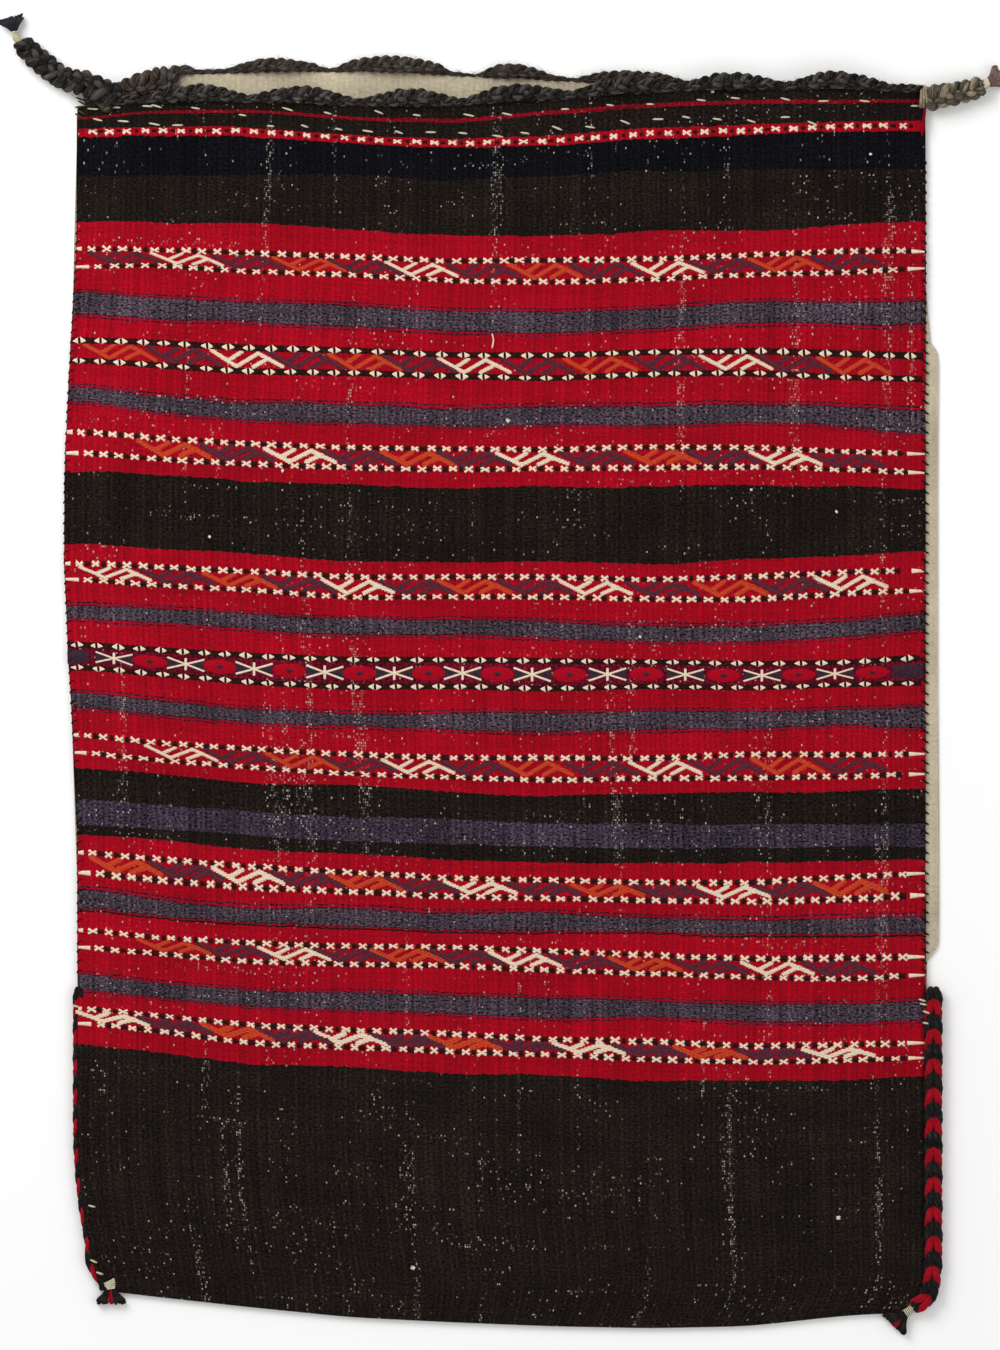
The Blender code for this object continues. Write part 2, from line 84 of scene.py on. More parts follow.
# Lines of weft as the photograph shows them, from the mouth down to the fold: what lies or begins at each,
# and its height at every station, in pixels. The heights are where the colours change down those columns
# of the photograph. The colour names begin a field. "line", "header", "cross",
# "arrow", "star" and "under" are rows on the field, and the fold ends it.
PIXEL = 0.00085
MIDDLE_PIXEL = 498
FOLD_PIXEL = 1322
STATIONS = (85, 150, 250, 350, 450, 550, 650, 750, 850, 915)
MIDDLE_STATION = 5
WEFT_LINES = (
    ("black", 108, 104, 103, 108, 108, 101, 94, 91, 91, 93),
    ("line", 119, 112, 112, 119, 122, 114, 105, 103, 103, 100),
    ("header", 131, 131, 131, 139, 144, 142, 134, 131, 126, 126),
    ("black", 177, 176, 175, 177, 181, 177, 172, 171, 170, 169),
    ("red", 222, 223, 224, 230, 236, 237, 232, 232, 224, 222),
    ("cross", 249, 251, 254, 258, 262, 261, 260, 256, 252, 252),
    ("cross", 267, 265, 272, 275, 281, 283, 280, 275, 273, 268),
    ("blue", 292, 299, 304, 307, 314, 314, 310, 302, 305, 302),
    ("red", 313, 319, 321, 327, 331, 334, 328, 322, 325, 323),
    ("arrow", 341, 343, 349, 351, 356, 356, 353, 352, 355, 357),
    ("arrow", 360, 365, 372, 373, 376, 379, 374, 373, 378, 379),
    ("blue", 388, 397, 403, 406, 411, 407, 406, 406, 408, 411),
    ("red", 400, 411, 420, 423, 427, 424, 425, 422, 427, 433),
    ("cross", 432, 438, 444, 448, 449, 450, 447, 448, 452, 454),
    ("cross", 453, 459, 465, 468, 470, 469, 468, 467, 470, 473),
    ("black", 471, 475, 481, 485, 488, 487, 486, 485, 487, 490),
    ("red", 544, 549, 553, 562, 562, 561, 565, 560, 556, 552),
    ("cross", 564, 567, 572, 577, 577, 577, 580, 577, 572, 571),
    ("cross", 579, 585, 590, 598, 597, 597, 599, 600, 593, 591),
    ("blue", 606, 608, 615, 620, 620, 623, 627, 627, 623, 613),
    ("red", 617, 622, 629, 635, 634, 637, 640, 640, 637, 628),
    ("star", 645, 650, 656, 660, 660, 661, 662, 664, 663, 658),
    ("star", 667, 673, 682, 687, 686, 689, 686, 688, 684, 683),
    ("blue", 693, 701, 710, 715, 713, 715, 711, 712, 710, 708),
    ("red", 706, 714, 722, 725, 728, 732, 728, 727, 724, 728),
    ("cross", 735, 743, 749, 755, 758, 758, 759, 754, 755, 754),
    ("cross", 752, 759, 767, 774, 777, 780, 778, 778, 776, 774),
    ("black", 767, 773, 782, 785, 792, 795, 794, 793, 791, 789),
    ("slate", 799, 805, 811, 817, 819, 822, 824, 824, 824, 823),
    ("black", 825, 829, 835, 841, 844, 846, 849, 848, 846, 848),
    ("red", 834, 839, 848, 854, 860, 862, 864, 861, 860, 859),
    ("cross", 852, 858, 866, 872, 878, 880, 882, 883, 876, 873),
    ("cross", 872, 879, 887, 891, 896, 898, 900, 901, 899, 895),
    ("blue", 891, 899, 909, 909, 914, 914, 918, 920, 919, 916),
    ("red", 907, 914, 921, 925, 929, 930, 931, 933, 932, 932),
    ("under", 910, 917, 924, 928, 932, 933, 934, 936, 935, 935),
    ("cross", 930, 937, 943, 946, 946, 951, 955, 959, 958, 957),
    ("cross", 947, 952, 961, 964, 965, 970, 973, 977, 979, 975),
    ("blue", 974, 982, 992, 993, 996, 999, 1000, 1005, 1004, 1002),
    ("red", 988, 996, 1006, 1010, 1013, 1017, 1014, 1020, 1021, 1018),
    ("cross", 1008, 1014, 1024, 1029, 1033, 1039, 1041, 1046, 1044, 1043),
    ("cross", 1023, 1029, 1043, 1047, 1051, 1054, 1059, 1062, 1060, 1058),
    ("earth", 1044, 1051, 1063, 1067, 1074, 1075, 1080, 1080, 1079, 1075),
    ("fold", 1285, 1293, 1304, 1314, 1319, 1323, 1325, 1323, 1312, 1309),
)
BACK_EDGE = (80, 75, 72, 71, 75, 80, 84, 85, 85, 86)  # the back's mouth edge at the stations
SPARE_WARPS = 0.06       # how far the lines are carried on past the first and the last station
LINE_STEPS = 160         # places across the sack where their heights are kept
LINE_SOFTNESS = 15       # places that each height is smoothed over

# Narrow fields about a line of weft: how far from it each begins, and its colour.
LINE_FIELDS = {
    "line": ((-0.0017, "line_red"), (0.0017, "black")),
    "header": ((-0.0040, "red"), (0.0040, "navy")),
    "under": ((-0.0007, "black"), (0.0008, "red")),
    "blue": ((-0.0036, "plum"), (-0.0024, "red"), (-0.0012, "plum"), (0.0, "blue")),
}
AFTER_BLUE = ((0.0, "plum"), (0.0011, "red"), (0.0022, "plum"), (0.0032, "red"))

# Weave.
RIB = 0.0046             # from one warp rib to the next
RIB_COLUMNS = 3          # columns of faces to a rib
RIB_HEIGHT = 0.0004
WEFT = 0.00106           # from one weft row to the next
BACK_ROWS = 16
INNER_ROWS = 7
ROW_PITCH = 0.013
BAND_RELIEF = 0.0004     # how far the brocaded bands stand above the plain weave
BAND_MARGIN = 0.0036     # how far a band goes on past its edging rows
SPECK_ACROSS = 0.0016    # lattice of the dots of bare warp
SPECK_ALONG = 0.0021
RIB_SPREAD = 0.0011      # how far the ribs stray from even spacing
RIB_LEVEL = 0.6          # share of a rib's height that lies below the level of the cloth
ROWS_APART = 0.0004      # no rows of faces are made closer than this
BAND_SLOPES = (0.0037, 0.0027)  # rows of faces off the edging rows of a band, outside and inside it
FOLD_TURNS = np.linspace(0.1, 0.9, 5) * np.pi    # round the fold
MOUTH_TURNS = np.array([0.25, 0.5, 0.75]) * np.pi  # round each edge of the mouth
SIDE_LIP = 0.0016        # over which the cloth draws in at its sides, by these amounts
BACK_LIP, FRONT_LIP, FRONT_INNER_LIP, BACK_INNER_LIP = 0.001, 0.0018, 0.0006, 0.0008
GROUND_GAP = 0.00005     # between the floor and the back
SIDE_STRAY = 0.0006      # how far the sides of the front stray, and of the back where it shows
BACK_STRAY = 0.0009
STRAY_PITCH = 0.018

BEAD_SHARE = 0.55        # of the weave's bump, what the beads of weft make of it
EDGE_DRIFT = 0.0065      # how far the edges of the fields of colour wander
EDGE_FRAY = 0.0030       # and how far they stray from one rib to the next
EDGE_SOFT = 0.0002

# Uneven dye and wear, as noise: its scale across and along the cloth, its detail, which range of it counts,
# and what that range becomes.
DYE = (16, 420, 3.0, 0.25, 0.75, 0.88, 1.12)
STREAK = (1 / RIB, 7, 0.0, 0.25, 0.75, 0.86, 1.12)
PATCH = (14, 30, 3.0, 0.3, 0.7, 0.87, 1.11)
GRAIN = (420, 620, 2.0, 0.30, 0.70, -1.0, 1.0)
IVORY_DYE = (260, 420, 3.0, 0.3, 0.7, 0.84, 1.12)
IVORY_PATCH = (30, 22, 4.0, 0.3, 0.7, 0.82, 1.12)
WORN_STREAKS = (52, 2.6, 2.0, 0.60, 0.70, 0.0, 0.50)
WORN_PATCHES = (13, 20, 2.0, 0.48, 0.80, 0.002, 0.12)
WORN_ROWS = (4, 60, 1.0, 0.63, 0.75, 0.0, 0.22)

SPECULAR = 0.04
SHEEN = 0.02
SHEEN_ROUGHNESS = 0.6

COLOURS = {
    "red": (161, 6, 27), "line_red": (132, 8, 28), "black": (30, 23, 19), "earth": (32, 25, 21),
    "navy": (12, 11, 17), "blue": (72, 60, 70), "slate": (60, 51, 64), "dark_slate": (42, 38, 50),
    "plum": (84, 26, 44), "star_ground": (104, 10, 34), "warp": (226, 212, 198), "ivory": (228, 209, 184),
    "orange": (198, 72, 38), "motif_blue": (58, 44, 58), "motif_black": (24, 17, 14),
    "cloth_ivory": (190, 178, 153), "goat_brown": (52, 42, 34), "plait_red": (150, 6, 24),
    "plait_black": (18, 17, 17), "thread_black": (22, 20, 18), "pink": (196, 70, 84),
    "tuft_blue": (30, 27, 36), "tuft_brown": (104, 78, 76), "tie": (206, 200, 168),
    "hair_dark": (25, 22, 21), "hair_grey": (66, 61, 59), "hair_light": (128, 121, 112),
    "tail_grey": (70, 62, 53), "tail_pale": (134, 122, 100), "tail_light": (200, 190, 166),
    "olive": (74, 64, 34), "lint": (236, 226, 206),
}

# Brocade, in mm. Motifs are drawn about their own middle, with y up.
MOTIF = (
    ((-30.3, 5.4), (-8.9, -5.4)), ((-8.9, -5.4), (9.5, 4.8)), ((9.5, 4.8), (30.3, -4.6)),
    ((-4.8, 5.4), (-16.2, -1.7)), ((5.4, -5.0), (18.4, 1.4)),
)
STROKES = (1.7, 1.95, 2.15)  # half the width of the strokes of the ivory, the orange and the blue motifs
# Middles of the motifs of each band, across the sack: first ivory, then orange. Blue ones lie between them.
MOTIFS = (
    ((-264, -65, 144), (-160, 40, 244)),
    ((-213, -20, 202), (-321, -113, 87, 302)),
    ((-168, 29, 244), (-275, -68, 139)),
    ((-325, -119, 83, 300), (-219, -20, 197)),
    ((), ()),
    ((-269, -68, 142), (-166, 33, 246)),
    ((-212, -15, 200), (-316, -112, 93, 299)),
    ((-173, 23, 237), (-275, -77, 125)),
    ((-327, -125, 77, 289), (-221, -28, 180)),
)
STARS = (-326, -265, -207, -147, -88, -30, 29, 93, 159, 224, 286)
LAST_LOZENGE = 318
CROSS_PITCH = 13.5       # between the crosses of a row
ARROW_PITCH = 18.1       # between the pairs of triangles of a row
HEADER_PITCH = 15.3      # between the crosses of the row below the mouth
HEADER_REACH = (-345, 354)
MOTIF_REACH = (-318, 322)  # no blue motif has its middle past these
MOTIF_STEP = 53          # from the last motif to a blue one beyond it
BROCADE_CROWN = 0.0007   # how far a float stands up in its middle, in metres
BLOCK_CROWN = 0.0003     # and the flat yarn of the dark squares and bars
FLOAT_SECTION = (-1.0, -0.88, -0.4, 0.4, 0.88, 1.0)  # points across a float, as shares of half its width


def linear(name):
    """A colour by name, from screen values to the renderer's."""
    return tuple(((c / 255 + 0.055) / 1.055) ** 2.4 if c > 10 else c / 255 / 12.92 for c in COLOURS[name])


def smooth(share):
    share = np.clip(share, 0.0, 1.0)
    return share * share * (3 - 2 * share)


def left_x(y):
    reach = np.minimum(np.abs(y - BELLY_MIDDLE) / BELLY_REACH, 1.0)
    belly = LEFT_BELLY * np.cos(np.pi / 2 * reach) ** 2
    return -LEFT_SIDE - belly + LEFT_PULL * np.maximum(0.0, 1 - y / LEFT_PULL_REACH) ** 2


def right_x(y):
    return RIGHT_SIDE - RIGHT_PULL * np.maximum(0.0, 1 - y / RIGHT_PULL_REACH) ** 2


def back_right_x(y):
    shows = smooth((y - STRIP_LOW) / STRIP_FADE) * smooth((STRIP_HIGH - y) / STRIP_FADE)
    return right_x(y) + BACK_SHOWS * shows


def line_height(pixels):
    """Heights at the steps across the sack, on a smooth curve through those at the stations."""
    soft = np.hanning(LINE_SOFTNESS)
    row = np.interp(LINE_ACROSS, STATION_PLACES, (FOLD_PIXEL - np.array(pixels)) * PIXEL)
    row = np.pad(row, LINE_SOFTNESS // 2, "reflect", reflect_type="odd")
    return np.convolve(row, soft / soft.sum(), "valid")


STATION_PLACES = (np.array(STATIONS) - MIDDLE_PIXEL) * PIXEL
LINE_ACROSS = np.linspace(STATION_PLACES[0] - SPARE_WARPS, STATION_PLACES[-1] + SPARE_WARPS, LINE_STEPS)
LINE_HEIGHTS = np.array([line_height(line[1:]) for line in WEFT_LINES])
MIDDLE_PIXELS = np.array([line[1 + MIDDLE_STATION] for line in WEFT_LINES], float)
LINE_DEPTHS = (MIDDLE_PIXELS - MIDDLE_PIXELS[0]) * PIXEL
BACK_HEIGHTS = line_height(BACK_EDGE)
FRONT_DEPTH = LINE_DEPTHS[-1]


def waves(x, y, seed, scale):
    """A smooth, repeatable unevenness between about -1 and 1."""
    rng = np.random.default_rng(seed)
    total = 0.0
    for _ in range(WAVES):
        angle, phase = rng.uniform(0, 2 * np.pi, 2)
        pitch = scale * rng.uniform(0.6, 1.8)
        total = total + np.sin((x * np.cos(angle) + y * np.sin(angle)) * 2 * np.pi / pitch + phase)
    return total / WAVES_REACH


def front_y(x, depth):
    """Height on the sack of a point of the front, from the lines of weft about it."""
    x, depth = np.broadcast_arrays(np.asarray(x, float), np.asarray(depth, float))
    step = LINE_ACROSS[1] - LINE_ACROSS[0]
    place = np.clip((x - LINE_ACROSS[0]) / step, 0, len(LINE_ACROSS) - 1.001)
    left = place.astype(int)
    share = place - left
    upper = np.clip(np.searchsorted(LINE_DEPTHS, depth) - 1, 0, len(LINE_DEPTHS) - 2)
    along = (depth - LINE_DEPTHS[upper]) / (LINE_DEPTHS[upper + 1] - LINE_DEPTHS[upper])
    first = LINE_HEIGHTS[upper, left] * (1 - share) + LINE_HEIGHTS[upper, left + 1] * share
    second = LINE_HEIGHTS[upper + 1, left] * (1 - share) + LINE_HEIGHTS[upper + 1, left + 1] * share
    return first * (1 - along) + second * along


def back_edge_y(x):
    """Height of the back's mouth edge."""
    corner = smooth(1 - (x + LEFT_SIDE) / CORNER_REACH)
    return np.interp(x, LINE_ACROSS, BACK_HEIGHTS) - BACK_CORNER * corner


def bands():
    """The edging rows in pairs: kind, depth of the upper and of the lower row."""
    found = [(line[0], depth) for line, depth in zip(WEFT_LINES, LINE_DEPTHS)]
    rows = [(kind, depth) for kind, depth in found if kind in ("cross", "arrow", "star")]
    return [(kind, upper, lower) for (kind, upper), (_, lower) in zip(rows[::2], rows[1::2])]


def fields():
    """Where each field of colour begins, below the mouth, and its colour."""
    found = []
    for (kind, *_), depth in zip(WEFT_LINES, LINE_DEPTHS):
        last = found[-1][1] if found else ""
        if kind in LINE_FIELDS:
            begins = LINE_FIELDS[kind]
        elif kind == "star":
            begins = ((0.0, "star_ground" if last == "red" else "red"),)
        elif last == "blue":
            begins = AFTER_BLUE
        else:
            begins = ((0.0, kind),) if kind in COLOURS else ()
        found += [(depth + off, colour) for off, colour in begins]
    return found


def relief(depth):
    """How far the brocaded bands stand above the plain weave."""
    level = np.zeros_like(depth)
    for _, upper, lower in bands():
        inside = smooth((depth - upper + BAND_MARGIN) / MM) * smooth((lower + BAND_MARGIN - depth) / MM)
        level = np.maximum(level, inside)
    return BAND_RELIEF * level


def top_z(x, y, depth):
    """Height of the front's upper face."""
    from_side = np.minimum(x - left_x(y), right_x(y) - x)
    from_fold = np.maximum(FRONT_DEPTH - depth, 0.0)
    rise = smooth(from_side / SIDE_SLOPE) * smooth(from_fold / FOLD_SLOPE)
    inside = smooth(from_side / EVEN_EDGE) * smooth(from_fold / EVEN_EDGE)
    uneven = sum(size * waves(x, y, seed, pitch) for size, seed, pitch in UNEVEN)
    near_cord = smooth(1 - (x - left_x(y)) / CORD_WIDTH)
    corded = smooth((SIDE_BRAID_TOP - y) / CORD_FADE) * near_cord * smooth(y / CORD_FOOT)
    return 2 * CLOTH + HOLLOW * rise + relief(depth) + uneven * inside + CORD_LIFT * corded


def on_cloth(x, depth, lift=0.0):
    """Points on the front, given across and along the cloth."""
    x, depth = np.broadcast_arrays(np.asarray(x, float), np.asarray(depth, float))
    y = front_y(x, depth)
    return np.stack([x, y, top_z(x, y, depth) + lift], -1)


cloth_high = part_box("sack_cloth")[1]
SHIFT = np.array([cloth_high.x - RIGHT_SIDE - BACK_SHOWS, cloth_high.y - BACK_LENGTH, 0.0])


def added(name, data):
    """A new object in the scene."""
    made = bpy.data.objects.new(name, data)
    bpy.context.scene.collection.objects.link(made)
    return made


class Shell:
    """Points and faces gathered for one piece."""

    def __init__(self):
        self.points, self.faces, self.uvs, self.slots, self.count = [], [], [], [], 0

    def grid(self, points, uv, tube=False, slot=0):
        """A net of faces over rows and columns of points. A tube has ends, and one column more in its uv."""
        rows, columns = points.shape[:2]
        index = np.arange(rows * columns).reshape(rows, columns) + self.count
        around = np.concatenate([index, index[:, :1]], 1) if tube else index
        quads = np.stack([around[:-1, :-1], around[:-1, 1:], around[1:, 1:], around[1:, :-1]], -1)
        corners = np.stack([uv[:-1, :-1], uv[:-1, 1:], uv[1:, 1:], uv[1:, :-1]], 2)
        self.points.append(points.reshape(-1, 3))
        self.faces += quads.reshape(-1, 4).tolist()
        self.uvs.append(corners.reshape(-1, 2))
        self.slots += [slot] * ((rows - 1) * quads.shape[1])
        if tube:
            for ring, place in ((index[0][::-1], uv[0, 0]), (index[-1], uv[-1, 0])):
                self.faces.append(ring.tolist())
                self.uvs.append(np.repeat(place[None], columns, 0))
                self.slots.append(slot)
        self.count += rows * columns
        return index

    def face(self, corners, uv, slot):
        self.faces.append(list(corners))
        self.uvs.append(np.asarray(uv, float))
        self.slots.append(slot)

    def build(self, name, *materials):
        mesh = bpy.data.meshes.new(name)
        mesh.from_pydata((np.concatenate(self.points) + SHIFT).tolist(), [], self.faces)
        layer = mesh.uv_layers.new(name="weave")
        layer.data.foreach_set("uv", np.concatenate(self.uvs).astype(np.float32).ravel())
        for material in materials:
            mesh.materials.append(material)
        mesh.polygons.foreach_set("material_index", self.slots)
        mesh.polygons.foreach_set("use_smooth", [True] * len(mesh.polygons))
        mesh.update()
        return added(name, mesh)


def length_along(path):
    """How far each point of a path is from its start."""
    return np.concatenate([[0], np.cumsum(np.linalg.norm(np.diff(path, axis=0), axis=1))])


def evenly(points, step):
    """Points about a step apart on a smooth curve through the given ones."""
    points = np.asarray(points, float)
    ends = np.vstack([2 * points[0] - points[1], points, 2 * points[-1] - points[-2]])
    t = np.linspace(0, 1, CURVE_SAMPLES, endpoint=False)[:, None]
    fine = []
    for a, b, c, d in zip(ends, ends[1:], ends[2:], ends[3:]):
        fine.append(0.5 * (2 * b + (c - a) * t + (2 * a - 5 * b + 4 * c - d) * t ** 2
                           + (3 * b - a - 3 * c + d) * t ** 3))
    fine = np.vstack([*fine, points[-1:]])
    run = length_along(fine)
    places = np.linspace(0, run[-1], max(3, round(run[-1] / step) + 1))
    return np.stack([np.interp(places, run, fine[:, k]) for k in range(3)], 1)


def frames(path):
    """Directions along, sideways and up for each point of a path."""
    along = np.gradient(path, axis=0)
    along /= np.linalg.norm(along, axis=1)[:, None] + 1e-12
    side = np.cross(along, np.array([0.0, 0.0, 1.0]))
    weak = np.linalg.norm(side, axis=1) < 0.1
    side[weak] = np.cross(along[weak], np.array([0.0, 1.0, 0.0]))
    side /= np.linalg.norm(side, axis=1)[:, None]
    return along, side, np.cross(side, along)


def strand(shell, path, radii, sides, plies=0, turn=0.0, slot=0, flat=1.0):
    """A tube round a path. plies makes it of that many twisted yarns, and turn is one yarn's share."""
    path = np.asarray(path, float)
    radii = np.broadcast_to(np.asarray(radii, float), len(path))
    _, side, up = frames(path)
    run = length_along(path)
    angle = np.arange(sides) * 2 * np.pi / sides
    reach = np.broadcast_to(radii[:, None], (len(path), sides)).copy()
    if plies:
        twist = angle[None] - 2 * np.pi * run[:, None] / turn / plies
        reach *= 1 - PLY_DEPTH + PLY_DEPTH * np.abs(np.sin(plies * twist / 2))
    points = (path[:, None] + side[:, None] * (reach * np.cos(angle))[..., None]
              + up[:, None] * (reach * np.sin(angle) * flat)[..., None])
    around = np.arange(sides + 1) * 2 * np.pi * radii.mean() / sides
    uv = np.stack(np.broadcast_arrays(around[None], run[:, None]), -1)
    shell.grid(points[:, ::-1], uv, tube=True, slot=slot)


def tapered(count, radius, ends=3, tip=0.35):
    """Radii along a strand that draws in over its last few points."""
    at = np.arange(count)
    near = np.minimum(at, count - 1 - at) / ends
    return radius * (tip + (1 - tip) * np.sin(np.pi / 2 * np.clip(near, 0, 1)))


def yarn(shell, points, half, height, lift=0.0001):
    """A float of yarn on the cloth through points given across and along it."""
    points = np.asarray(points, float)
    half = np.broadcast_to(np.asarray(half, float), len(points))
    along = np.gradient(points, axis=0)
    along /= np.linalg.norm(along, axis=1)[:, None]
    normal = np.stack([-along[:, 1], along[:, 0]], 1)
    t = np.array(FLOAT_SECTION)
    across = points[:, None] + normal[:, None] * (half[:, None] * t)[..., None]
    crown = height * (1 - t ** 4) * np.minimum(1.0, 0.5 + half / half.max())[:, None] + lift
    crown[:, [0, -1]] = 0.0
    crown[[0, -1]] = np.minimum(crown[[0, -1]], lift)
    placed = on_cloth(across[..., 0], across[..., 1], crown)
    run = length_along(points)
    uv = np.stack(np.broadcast_arrays(run[:, None], (half[:, None] * t)), -1)
    shell.grid(placed, uv)


class Nodes:
    """Short ways to make the nodes of one material. A value is a socket to link or a constant to set."""

    def __init__(self, name, roughness=0.95):
        self.material = bpy.data.materials.new(name)
        self.material.use_nodes = True
        self.tree = self.material.node_tree
        self.shader = self.tree.nodes["Principled BSDF"]
        self.shader.inputs["Roughness"].default_value = roughness
        self.shader.inputs["Specular IOR Level"].default_value = SPECULAR
        self.shader.inputs["Sheen Weight"].default_value = SHEEN
        self.shader.inputs["Sheen Roughness"].default_value = SHEEN_ROUGHNESS

    def set(self, socket, value):
        if isinstance(value, bpy.types.NodeSocket):
            self.tree.links.new(value, socket)
        else:
            socket.default_value = value

    def make(self, kind, *values, operation=None):
        """A new node, with values for its first sockets."""
        made = self.tree.nodes.new("ShaderNode" + kind)
        if operation:
            made.operation = operation
        for socket, value in zip(made.inputs, values):
            self.set(socket, value)
        return made

    def uv(self, across=1.0, along=1.0):
        """The weave coordinates, each times a factor."""
        found = self.make("UVMap")
        found.uv_map = "weave"
        scales = (across, along, 1)
        return self.make("VectorMath", found.outputs["UV"], scales, operation="MULTIPLY").outputs[0]

    def part(self, vector, axis):
        return self.make("SeparateXYZ", vector).outputs[axis]

    def vector(self, operation, value):
        return self.make("VectorMath", value, operation=operation).outputs[0]

    def chance(self, vector):
        """An even random value for each place of a lattice."""
        made = self.make("TexWhiteNoise", vector)
        made.noise_dimensions = "2D"
        return made.outputs["Value"]

    def math(self, operation, *values):
        return self.make("Math", *values, operation=operation).outputs[0]

    def times(self, first, second):
        return self.math("MULTIPLY", first, second)

    def plus(self, first, second):
        return self.math("ADD", first, second)

    def humps(self, value):
        """A rounded hump from each whole value to the next."""
        return self.math("ABSOLUTE", self.math("SINE", self.times(value, math.pi)))

    def noise(self, vector, detail=2.0):
        made = self.make("TexNoise", vector)
        made.inputs["Scale"].default_value = 1.0
        made.inputs["Detail"].default_value = detail
        return made.outputs["Fac"]

    def spread(self, value, low, high, to_low=0.0, to_high=1.0):
        return self.make("MapRange", value, low, high, to_low, to_high).outputs[0]

    def cloud(self, across, along, detail, low, high, to_low, to_high):
        return self.spread(self.noise(self.uv(across, along), detail), low, high, to_low, to_high)

    def mix(self, share, *colours):
        made = self.make("Mix", share)
        made.data_type = "RGBA"
        for socket, colour in zip(made.inputs[6:], colours):
            self.set(socket, colour if isinstance(colour, bpy.types.NodeSocket) else (*colour, 1))
        return made.outputs[2]

    def shade(self, colour, factor):
        """A colour made lighter or darker by a factor."""
        made = self.make("VectorMath", colour, operation="SCALE")
        self.set(made.inputs["Scale"], factor)
        return made.outputs[0]

    def finish(self, colour, height, distance):
        """Links the colour, and the height as bump of that many metres."""
        bump = self.make("Bump")
        self.set(bump.inputs["Height"], height)
        bump.inputs["Strength"].default_value = 1.0
        bump.inputs["Distance"].default_value = distance
        self.set(self.shader.inputs["Base Color"], colour)
        self.set(self.shader.inputs["Normal"], bump.outputs[0])
        return self.material


def beads(n):
    """Height of the weft between the ribs: small beads, set off by half a row from rib to rib."""
    across = n.part(n.uv(1 / RIB, 1), 0)
    row = n.part(n.uv(1, 1 / WEFT), 1)
    along = n.humps(n.plus(row, n.times(n.math("FLOOR", across), 0.5)))
    rib = n.math("POWER", n.humps(across), 0.7)
    return n.times(n.plus(n.times(along, BEAD_SHARE), 1 - BEAD_SHARE), rib)


def worn_warps(n):
    """Where the pale warps show through: dots in streaks along the warp, in patches and in rows."""
    places = n.uv(1 / SPECK_ACROSS, 1 / SPECK_ALONG)
    cell, inside = n.vector("FLOOR", places), n.vector("FRACTION", places)
    shape = 1.0
    for axis in (0, 1):
        share = n.part(inside, axis)
        shape = n.times(shape, n.times(share, n.math("SUBTRACT", 1.0, share)))
    streaks, patches, rows = (n.cloud(*wear) for wear in (WORN_STREAKS, WORN_PATCHES, WORN_ROWS))
    likely = n.math("MAXIMUM", streaks, n.math("MAXIMUM", patches, rows))
    shown = n.math("LESS_THAN", n.chance(cell), likely)
    light = n.spread(n.math("POWER", n.chance(n.vector("SINE", cell)), 2.6), 0.0, 1.0, 0.06, 0.62)
    return n.times(n.times(shown, n.spread(shape, 0.016, 0.045)), light)


def patterned_wool():
    """The front's cloth: fields of colour along the warp, uneven dye, worn ribs, and painted shade in the
    grooves between the ribs with painted highlights on the beads of weft.
    """
    n = Nodes("patterned_wool")
    drift = n.times(n.math("SUBTRACT", n.noise(n.uv(9, 25)), 0.5), EDGE_DRIFT)
    fray = n.times(n.math("SUBTRACT", n.noise(n.uv(1 / RIB, 90), 1.0), 0.5), EDGE_FRAY)
    moved = n.plus(n.part(n.uv(), 1), n.plus(drift, fray))
    found = fields()
    colour = linear(found[0][1])
    for start, name in found[1:]:
        colour = n.mix(n.spread(moved, start - EDGE_SOFT, start + EDGE_SOFT), colour, linear(name))
    # The blue wools vary most in tone, the black ones nearly as much, and the red one little.
    glow = n.part(colour, 0)
    wild = n.times(n.spread(glow, 0.020, 0.055, 0.95, 1.25), n.spread(glow, 0.08, 0.30, 1.0, 0.22))
    fleck = n.plus(n.times(n.cloud(*GRAIN), wild), 1.0)
    bead = beads(n)
    # Painted shade and highlight: the colour is darkened in the grooves between the ribs and lightened on the
    # tops of the beads of weft. tone carries it together with the uneven dye, and weave deepens it most in
    # the dark and the blue wools.
    painted_shade_and_highlight = n.spread(bead, 0.0, 1.0, 0.74, 1.08)
    tone = n.times(n.times(n.cloud(*DYE), n.cloud(*PATCH)), n.times(painted_shade_and_highlight, n.cloud(*STREAK)))
    weave = n.math("POWER", tone, n.math("MULTIPLY_ADD", wild, 1.2, 0.7))
    colour = n.mix(worn_warps(n), n.shade(colour, n.times(weave, fleck)), linear("warp"))
    return n.finish(colour, n.plus(bead, n.times(fleck, 0.3)), 0.0005)


def ivory_wool():
    """The plain back: the same weave in undyed wool, with painted shade in the grooves between its ribs and a
    faint painted highlight on its beads of weft.
    """
    n = Nodes("ivory_wool")
    bead = beads(n)
    # tone holds the uneven dye and patches, and also the painted shade in the grooves between the ribs with a
    # faint painted highlight on the beads of weft.
    tone = n.times(n.times(n.cloud(*IVORY_DYE), n.cloud(*IVORY_PATCH)), n.spread(bead, 0, 1, 0.92, 1.04))
    return n.finish(n.shade(linear("cloth_ivory"), tone), bead, 0.0002)


def yarn_wool(name, colour, uneven=0.2, ground=0.0):
    """Dyed wool of the brocade, the ties and the stitches. ground is how much red shows between floats."""
    n = Nodes(name)
    tone = n.cloud(330, 700, 2.0, 0.3, 0.7, 1 - uneven, 1 + uneven)
    slow = n.cloud(40, 60, 2.0, 0.3, 0.7, 1 - uneven / 2, 1 + uneven / 2)
    shaded = n.shade(linear(colour), n.times(tone, slow))
    if ground:
        shaded = n.mix(n.cloud(260, 520, 1.0, 0.45, 0.62, 0.0, ground), shaded, linear("red"))
    return n.finish(shaded, n.noise(n.uv(500, 2500)), 0.0004)


